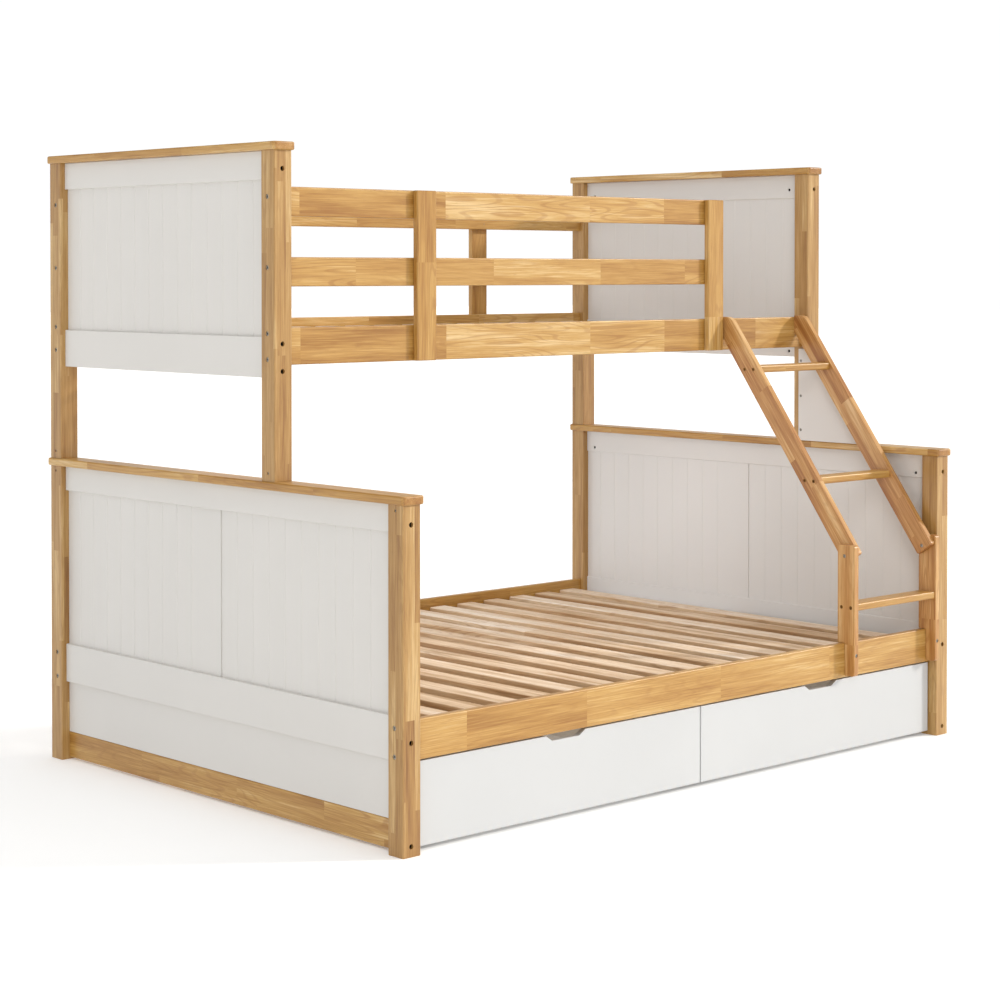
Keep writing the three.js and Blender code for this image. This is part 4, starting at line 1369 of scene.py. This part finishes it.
@dataclass
class Ladder:
    """The slanted ladder: two stringers, two legs hooked over the lower side rail, and three rungs."""

    fasteners: Fasteners
    board_width: float = 0.058
    head_height: float = 0.047
    foot_height: float = 0.225
    foot_setback: float = 0.025
    board_edge: float = 0.002
    head_corner: float = 0.014
    foot_corner: float = 0.006
    leg_corner: float = 0.008
    rung_edge: float = 0.004
    bolt_radius: float = 0.0052
    bolt_sunk: float = 0.001
    bolt_inset: float = 0.0105
    bolt_drop: float = 0.001
    leg_bolt_rise: float = 0.024
    leg_bolt_setback: float = 0.035
    spare: float = 0.15

    def build(self) -> None:
        """Builds the ladder's boards, each with its bolts."""
        for side in Side:
            self._leg(side)
            self._stringer(side)
        for place in ("bottom", "middle", "top"):
            show_as_board(f"ladder_{place}_rung", Axis.X, self.rung_edge)

    def _bore(self, place: Point, axis: Axis, outward: int) -> Bore:
        """A bore for one of the ladder's bolts."""
        return Bore(place, axis, outward, self.bolt_radius, self.bolt_sunk)

    def _rung_bores(self, rung: str, x: float, side: Side) -> list[Bore]:
        """Places the bores through a board into a rung's end.

        Args:
            rung: Which rung it is.
            x: The X of the board's outer face.
            side: The side of the ladder that the board is on.

        Returns:
            The two bores.
        """
        low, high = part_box(f"ladder_{rung}_rung")
        z = (low.z + high.z) / 2 - self.bolt_drop
        places = (low.y + self.bolt_inset, high.y - self.bolt_inset)
        return [self._bore((x, y, z), Axis.X, side.value) for y in places]

    def _foot_bolt(self, side: Side) -> tuple[float, float]:
        """Places the bolt that holds a stringer's foot to its leg.

        Args:
            side: The side of the ladder that they are on.

        Returns:
            Its Y and Z.
        """
        leg_low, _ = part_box(f"ladder_{side.label}_leg")
        foot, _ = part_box(f"ladder_{side.label}_stringer")
        return leg_low.y + self.leg_bolt_setback, foot.z + self.leg_bolt_rise

    def _stringer(self, side: Side) -> None:
        """Builds a sloping board, cut upright at the upper side rail and level at its head. Its back
        edge runs from that rail to a foot above the lower one.

        Args:
            side: The side of the ladder that it is on.
        """
        name = f"ladder_{side.label}_stringer"
        low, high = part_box(name)
        leg_low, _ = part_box(f"ladder_{side.label}_leg")
        _, rail_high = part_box("lower_front_side_rail")
        head = Vector(((low.x + high.x) / 2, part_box("upper_front_side_rail")[0].y, high.z - self.head_height))
        run = head.y - (leg_low.y + self.foot_setback)
        rise = head.z - (rail_high.z + self.foot_height)
        reach = math.hypot(run, rise)
        slope = math.atan2(rise, run) + math.asin(self.board_width / 2 / reach)
        length = math.sqrt(reach**2 - (self.board_width / 2) ** 2)
        down = Vector((0.0, -math.cos(slope), -math.sin(slope)))
        forward = Vector((0.0, -math.sin(slope), math.cos(slope)))
        middle = head + down * (length - self.spare) / 2 + forward * self.board_width / 2
        half = Vector((high.x - low.x, self.board_width, length + self.spare)) / 2
        stringer = add_block(f"{name}_wood", middle - half, middle + half, (slope - math.pi / 2, 0.0, 0.0))
        cut_off(stringer, head, (0.0, 1.0, 0.0))
        cut_off(stringer, (0.0, 0.0, high.z), (0.0, 0.0, 1.0))
        back_foot = head + down * length
        front_foot = back_foot + forward * self.board_width
        front_head = (head.x, front_foot.y + (high.z - front_foot.z) / math.tan(slope), high.z)
        round_corners(stringer, [front_head], self.head_corner)
        round_corners(stringer, [back_foot, front_foot], self.foot_corner)
        round_edges(stringer, self.board_edge, EASED)
        outer_x = side.outer(low.x, high.x)
        bores = [bore for rung in ("middle", "top") for bore in self._rung_bores(rung, outer_x, side)]
        foot_bore = self._bore((side.outer(high.x, low.x), *self._foot_bolt(side)), Axis.X, -side.value)
        self.fasteners.drill(stringer, [*bores, foot_bore])
        sloping = Grain("sloping", (-slope, 0.0, -math.pi / 2), (0.0, math.cos(slope), math.sin(slope)))
        finish_piece(stringer, LADDER_WOOD.build(sloping), name)
        self.fasteners.bolts(f"{name}_bolts", bores, WOOD_REFLECTION_STEEL)
        self.fasteners.bolts(f"{name}_foot_nut", [foot_bore])

    def _leg(self, side: Side) -> None:
        """Builds a leg whose foot hangs in front of the lower side rail and whose step stands on it.

        Args:
            side: The side of the ladder that it is on.
        """
        name = f"ladder_{side.label}_leg"
        low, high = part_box(name)
        rail_low, rail_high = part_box("lower_front_side_rail")
        top = rail_high.z
        leg = add_block(f"{name}_wood", low, (high.x, rail_low.y, high.z))
        cut_off(leg, (0.0, 0.0, top), (0.0, 0.0, 1.0), clear=False)
        step = {"value": (0.0, high.y - rail_low.y, 0.0)}
        with selected(leg, Part.FACES, lambda f: looks(f, (0, 1, 0)) and f.calc_center_median().z > top):
            bpy.ops.mesh.extrude_region_move(TRANSFORM_OT_translate=step)
        corners = [(0.0, low.y, low.z), (0.0, low.y, high.z), (0.0, high.y, high.z)]
        round_corners(leg, corners, self.leg_corner)
        round_edges(leg, self.board_edge, EASED)
        outer_x = side.outer(low.x, high.x)
        rung_bores = self._rung_bores("bottom", outer_x, side)
        into_rail = ((low.x + high.x) / 2, low.y, (rail_low.z + 2 * top) / 3)
        frame_bores = [
            self._bore((outer_x, *self._foot_bolt(side)), Axis.X, side.value),
            self._bore(into_rail, Axis.Y, -1),
        ]
        self.fasteners.drill(leg, rung_bores + frame_bores)
        finish_wood(leg, Axis.Z, name, LADDER_WOOD)
        self.fasteners.bolts(f"{name}_rung_bolts", rung_bores, WOOD_REFLECTION_STEEL)
        self.fasteners.bolts(f"{name}_bolts", frame_bores)


@dataclass
class Gusset:
    """The white board that stiffens the upper right front post on the double bed's cap."""

    fasteners: Fasteners
    nose: float = 0.020
    top: float = 0.063
    edge: float = 0.0012
    bolt_radius: float = 0.0045
    bolt_sunk: float = 0.0005
    bolt_inset: float = 0.009
    bolt_drops: tuple[float, ...] = (0.035, 0.138, 0.238)

    def build(self) -> None:
        """Builds the board and its bolts."""
        low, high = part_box("post_gusset")
        board = add_block("post_gusset_board", low, high)
        nose_corner = Vector((0.0, low.y, low.z + self.nose))
        run = Vector((0.0, high.y - self.top, high.z)) - nose_corner
        cut_off(board, nose_corner, (0.0, -run.z, run.y))
        round_edges(board, self.edge, EASED)
        places = [(low.x, high.y - self.bolt_inset, high.z - drop) for drop in self.bolt_drops]
        bores = [Bore(place, Axis.X, -1, self.bolt_radius, self.bolt_sunk) for place in places]
        self.fasteners.drill(board, bores)
        finish_piece(board, PANEL_PAINT.build(), "post_gusset")
        self.fasteners.bolts("post_gusset_bolts", bores)


@dataclass
class Drawer:
    """A drawer on four wheels, with a notched front."""

    side: Side
    notch_top: float = 0.132
    notch_bottom: float = 0.090
    notch_depth: float = 0.013
    front_edge: float = 0.0015
    box_edge: float = 0.001
    wall: float = 0.012
    floor: float = 0.009
    bracket_sheet: float = 0.003
    bracket_length: float = 0.030
    bracket_gap: float = 0.0015
    cheek_drop: float = 0.7
    cheek_corner: float = 0.8
    axle_radius: float = 0.004
    axle_gap: float = 0.0004
    axle_head_share: float = 1.6
    axle_head_height: float = 0.003
    wheel_segments: int = 48
    wheel_edge: float = 0.0025
    wheel_rim: float = 0.005
    wheel_recess: float = 0.005
    rim_slope: float = 0.0008
    hub_slope: float = 0.0004
    hub_radius: float = 0.009
    overcut: float = 0.002

    @property
    def label(self) -> str:
        """The word that this drawer's pieces start with, which is also its body's name."""
        return f"{self.side.label}_drawer"

    def build(self) -> None:
        """Builds the front, the box, the brackets and the wheels."""
        self._front()
        self._box()
        for face in Face:
            for side in Side:
                self._wheel(f"{self.label}_{face.label}_{side.label}_wheel")
                self._bracket(f"{self.label}_{face.label}_{side.label}_wheel")

    def _front(self) -> None:
        """Builds the painted front, with a finger notch in its top edge."""
        name = f"{self.label}_front"
        low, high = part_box(name)
        front = add_block(f"{name}_board", low, high)
        middle = (low.x + high.x) / 2
        over = self.overcut
        widen = (self.notch_top - self.notch_bottom) / 2 / self.notch_depth
        half = self.notch_top / 2 + over * widen
        notch_low = (middle - half, low.y - over, high.z - self.notch_depth)
        notch = add_block("notch", notch_low, (middle + half, high.y + over, high.z + over))
        with selected(notch, Part.FACES, lambda face: looks(face, (0, 0, -1))):
            bpy.ops.transform.resize(value=(self.notch_bottom / 2 / half, 1.0, 1.0))
        cut_with(front, [notch])
        round_edges(front, self.front_edge, EASED)
        finish_piece(front, DRAWER_PAINT.build(), name, self.label)

    def _box(self) -> None:
        """Builds the open box behind the front."""
        name = f"{self.label}_box"
        low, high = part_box(name)
        _, wheel_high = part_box(f"{self.label}_front_left_wheel")
        under = wheel_high.z + 2 * self.bracket_sheet
        box = add_block(f"{name}_board", (low.x, low.y, under), high)
        with selected(box, Part.FACES, lambda face: looks(face, (0, 0, 1))):
            bpy.ops.mesh.inset(thickness=self.wall, depth=0.0)
            sink = {"value": (0.0, 0.0, -(high.z - under - self.floor))}
            bpy.ops.mesh.extrude_region_move(TRANSFORM_OT_translate=sink)
        round_edges(box, self.box_edge, EASED)
        finish_piece(box, DRAWER_FOIL.build(), name, self.label)

    def _bracket(self, wheel: str) -> None:
        """Builds a folded steel bracket over a wheel, and the wheel's axle.

        Args:
            wheel: The wheel's name.
        """
        low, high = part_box(wheel)
        middle = (low + high) / 2
        inner = (high.x - low.x) / 2 + self.bracket_gap
        outer = inner + self.bracket_sheet
        top = high.z + 2 * self.bracket_sheet
        half = self.bracket_length / 2
        plate_low = (middle.x - outer, middle.y - half, top - self.bracket_sheet)
        parts = [add_block("plate", plate_low, (middle.x + outer, middle.y + half, top))]
        under = middle.z - half * self.cheek_drop
        corners = [(0.0, middle.y - half, under), (0.0, middle.y + half, under)]
        for sign in (-1, 1):
            near, far = sorted((middle.x + sign * inner, middle.x + sign * outer))
            cheek_high = (far, middle.y + half, top - self.bracket_sheet / 2)
            cheek = add_block("cheek", (near, middle.y - half, under), cheek_high)
            round_corners(cheek, corners, half * self.cheek_corner)
            end = (middle.x + sign * (outer + self.axle_head_height / 2), middle.y, middle.z)
            radius = self.axle_radius * self.axle_head_share
            head = add_cylinder("axle_head", end, Axis.X, radius, self.axle_head_height, HEXAGON)
            parts += [cheek, head]
        parts.append(add_cylinder("axle", middle, Axis.X, self.axle_radius, 2 * outer))
        finish_piece(join_pieces(f"{wheel}_bracket", parts), ZINC.build(), body=self.label)

    def _wheel(self, name: str) -> None:
        """Builds a moulded wheel with a rounded tread, a recessed web, a hub and a bore.

        Args:
            name: The wheel's name, which is also its body's.
        """
        low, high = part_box(name)
        middle = (low + high) / 2
        width = high.x - low.x
        radius = (high.z - low.z) / 2
        wheel = add_cylinder(f"{name}_plastic", middle, Axis.X, radius, width, self.wheel_segments)
        round_edges(wheel, self.wheel_edge, ROUNDED)
        web = radius - self.wheel_rim - self.rim_slope - self.hub_radius
        insets = (
            (self.wheel_rim - self.wheel_edge, 0.0),
            (self.rim_slope, -self.wheel_recess),
            (web, 0.0),
            (self.hub_slope, self.wheel_recess),
        )
        with selected(wheel, Part.FACES, lambda f: abs(f.normal.x) > PARALLEL and f.calc_area() > radius**2):
            for thickness, depth in insets:
                bpy.ops.mesh.inset(thickness=thickness, depth=depth)
        bore_radius = self.axle_radius + self.axle_gap
        cut_with(wheel, [add_cylinder("bore", middle, Axis.X, bore_radius, width + 2 * self.overcut)])
        finish_piece(wheel, WHEEL_PLASTIC.build(), name, name)


@dataclass(frozen=True)
class Studio:
    """A pale, faintly lit floor, a white room that darkens overhead, three soft suns, two softboxes
    that lift the shaded inside of the bed, and the camera."""

    camera_place: Point = (-4.23825, -4.50566, 1.29538)
    camera_turn: float = -0.74975
    camera_pitch: float = 0.01814
    focal_length: float = 81.516
    picture_shift: float = -0.18647
    sensor_width: float = 36.0
    sight: float = 200.0
    wall_light: float = 1.02
    ceiling_light: float = 0.20
    wall_top: float = 0.14
    ceiling_start: float = 0.30
    floor_size: float = 120.0
    floor_colour: str = "#f8f8f7"
    floor_roughness: float = 0.9
    floor_glow: float = 0.17

    def build(self) -> None:
        """Builds everything that isn't the bed. A sun's energy is its irradiance and its angle what it
        fills in the sky. A softbox's is its power in watts, and it has a beam and a size."""
        self._camera()
        self._floor()
        self._room()
        degrees = math.radians
        self._lamp("key_sun", "SUN", (-0.66, 0.48, -0.36), "#fffaf3", energy=2.2, angle=degrees(5))
        self._lamp("fill_sun", "SUN", (0.62, 0.66, -0.42), "#fbfcff", energy=0.7, angle=degrees(25))
        self._lamp("overhead_sun", "SUN", (0.0, 0.0, -1.0), "#ffffff", energy=1.7, angle=degrees(80))
        end = {"energy": 2.7, "spread": degrees(75), "size": 0.7, "size_y": 1.2}
        self._lamp("end_softbox", "AREA", (1.0, 0.0, 0.0), "#dceaff", (-0.94, 0.30, 0.95), **end)
        deck = {"energy": 2.1, "spread": degrees(140), "size": 1.5, "size_y": 0.85}
        self._lamp("deck_softbox", "AREA", (0.0, 0.0, -1.0), "#fcfdff", (-0.15, 0.2, 1.05), **deck)
        bpy.context.scene.view_settings.view_transform = "Standard"

    def _camera(self) -> None:
        """Places the camera where the photograph was taken from."""
        lens = bpy.data.cameras.new("camera")
        lens.sensor_width = self.sensor_width
        lens.lens = self.focal_length
        lens.shift_y = self.picture_shift
        lens.clip_end = self.sight
        camera = bpy.data.objects.new("camera", lens)
        camera.location = self.camera_place
        camera.rotation_euler = (math.pi / 2 - self.camera_pitch, 0.0, self.camera_turn)
        bpy.context.scene.collection.objects.link(camera)
        bpy.context.scene.camera = camera

    def _floor(self) -> None:
        """Lays a wide pale floor under the bed: a matt white that glows a little, so it stays white."""
        deselect_all()
        bpy.ops.mesh.primitive_plane_add(size=self.floor_size, location=(0.0, 0.0, 0.0))
        floor = bpy.context.object
        floor.name = "studio_floor"
        material, _, shader = new_material("studio_floor")
        set_inputs(shader, {"Base Color": linear(self.floor_colour), "Roughness": self.floor_roughness})
        set_inputs(shader, {"Emission Color": linear("#ffffff"), "Emission Strength": self.floor_glow})
        floor.data.materials.append(material)

    def _room(self) -> None:
        """Lights the room white from the walls all around, and dimmer from the ceiling."""
        world = bpy.context.scene.world or bpy.data.worlds.new("world")
        bpy.context.scene.world = world
        world.use_nodes = True
        tree = world.node_tree
        height = add_node(tree, "SeparateXYZ", {0: add_node(tree, "TexCoord", {})["Generated"]})["Z"]
        walls = {"From Min": self.wall_top, "To Min": self.wall_light}
        ceiling = {"From Max": self.ceiling_start, "To Max": self.ceiling_light}
        fade = {"Value": height, **walls, **ceiling}
        light = add_node(tree, "MapRange", fade, interpolation_type="SMOOTHSTEP")[0]
        set_inputs(tree.nodes["Background"], {"Color": linear("#ffffff"), "Strength": light})

    def _lamp(
        self, name: str, kind: str, aim: Point, colour: str, place: Point = (0.0, 0.0, 0.0), **settings: float
    ) -> None:
        """Hangs a soft lamp that the camera doesn't see.

        Args:
            name: The lamp's name.
            kind: Its type.
            aim: The direction in which it shines.
            colour: Its sRGB hex colour.
            place: Its middle, which doesn't count for a sun.
            settings: Its energy and the angles and sizes that its type has.
        """
        light = bpy.data.lights.new(name, kind)
        light.color = linear(colour)[:3]
        if kind == "AREA":
            light.shape = "RECTANGLE"
        for setting, value in settings.items():
            setattr(light, setting, value)
        lamp = bpy.data.objects.new(name, light)
        lamp.location = place
        lamp.rotation_euler = Vector(aim).to_track_quat("-Z", "Y").to_euler()
        lamp.visible_camera = False
        bpy.context.scene.collection.objects.link(lamp)


def main() -> None:
    """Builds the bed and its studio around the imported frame."""
    logging.basicConfig(level=logging.INFO, format="%(name)s %(message)s")
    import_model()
    Studio().build()
    fasteners = Fasteners()
    for level in Level:
        for side in Side:
            EndPanel(level, side, fasteners).build()
        Deck(level).build()
    GuardRails(fasteners).build()
    Ladder(fasteners).build()
    Gusset(fasteners).build()
    for side in Side:
        Drawer(side).build()
    fasteners.clear()
    deselect_all()


if __name__ == "__main__":
    main()
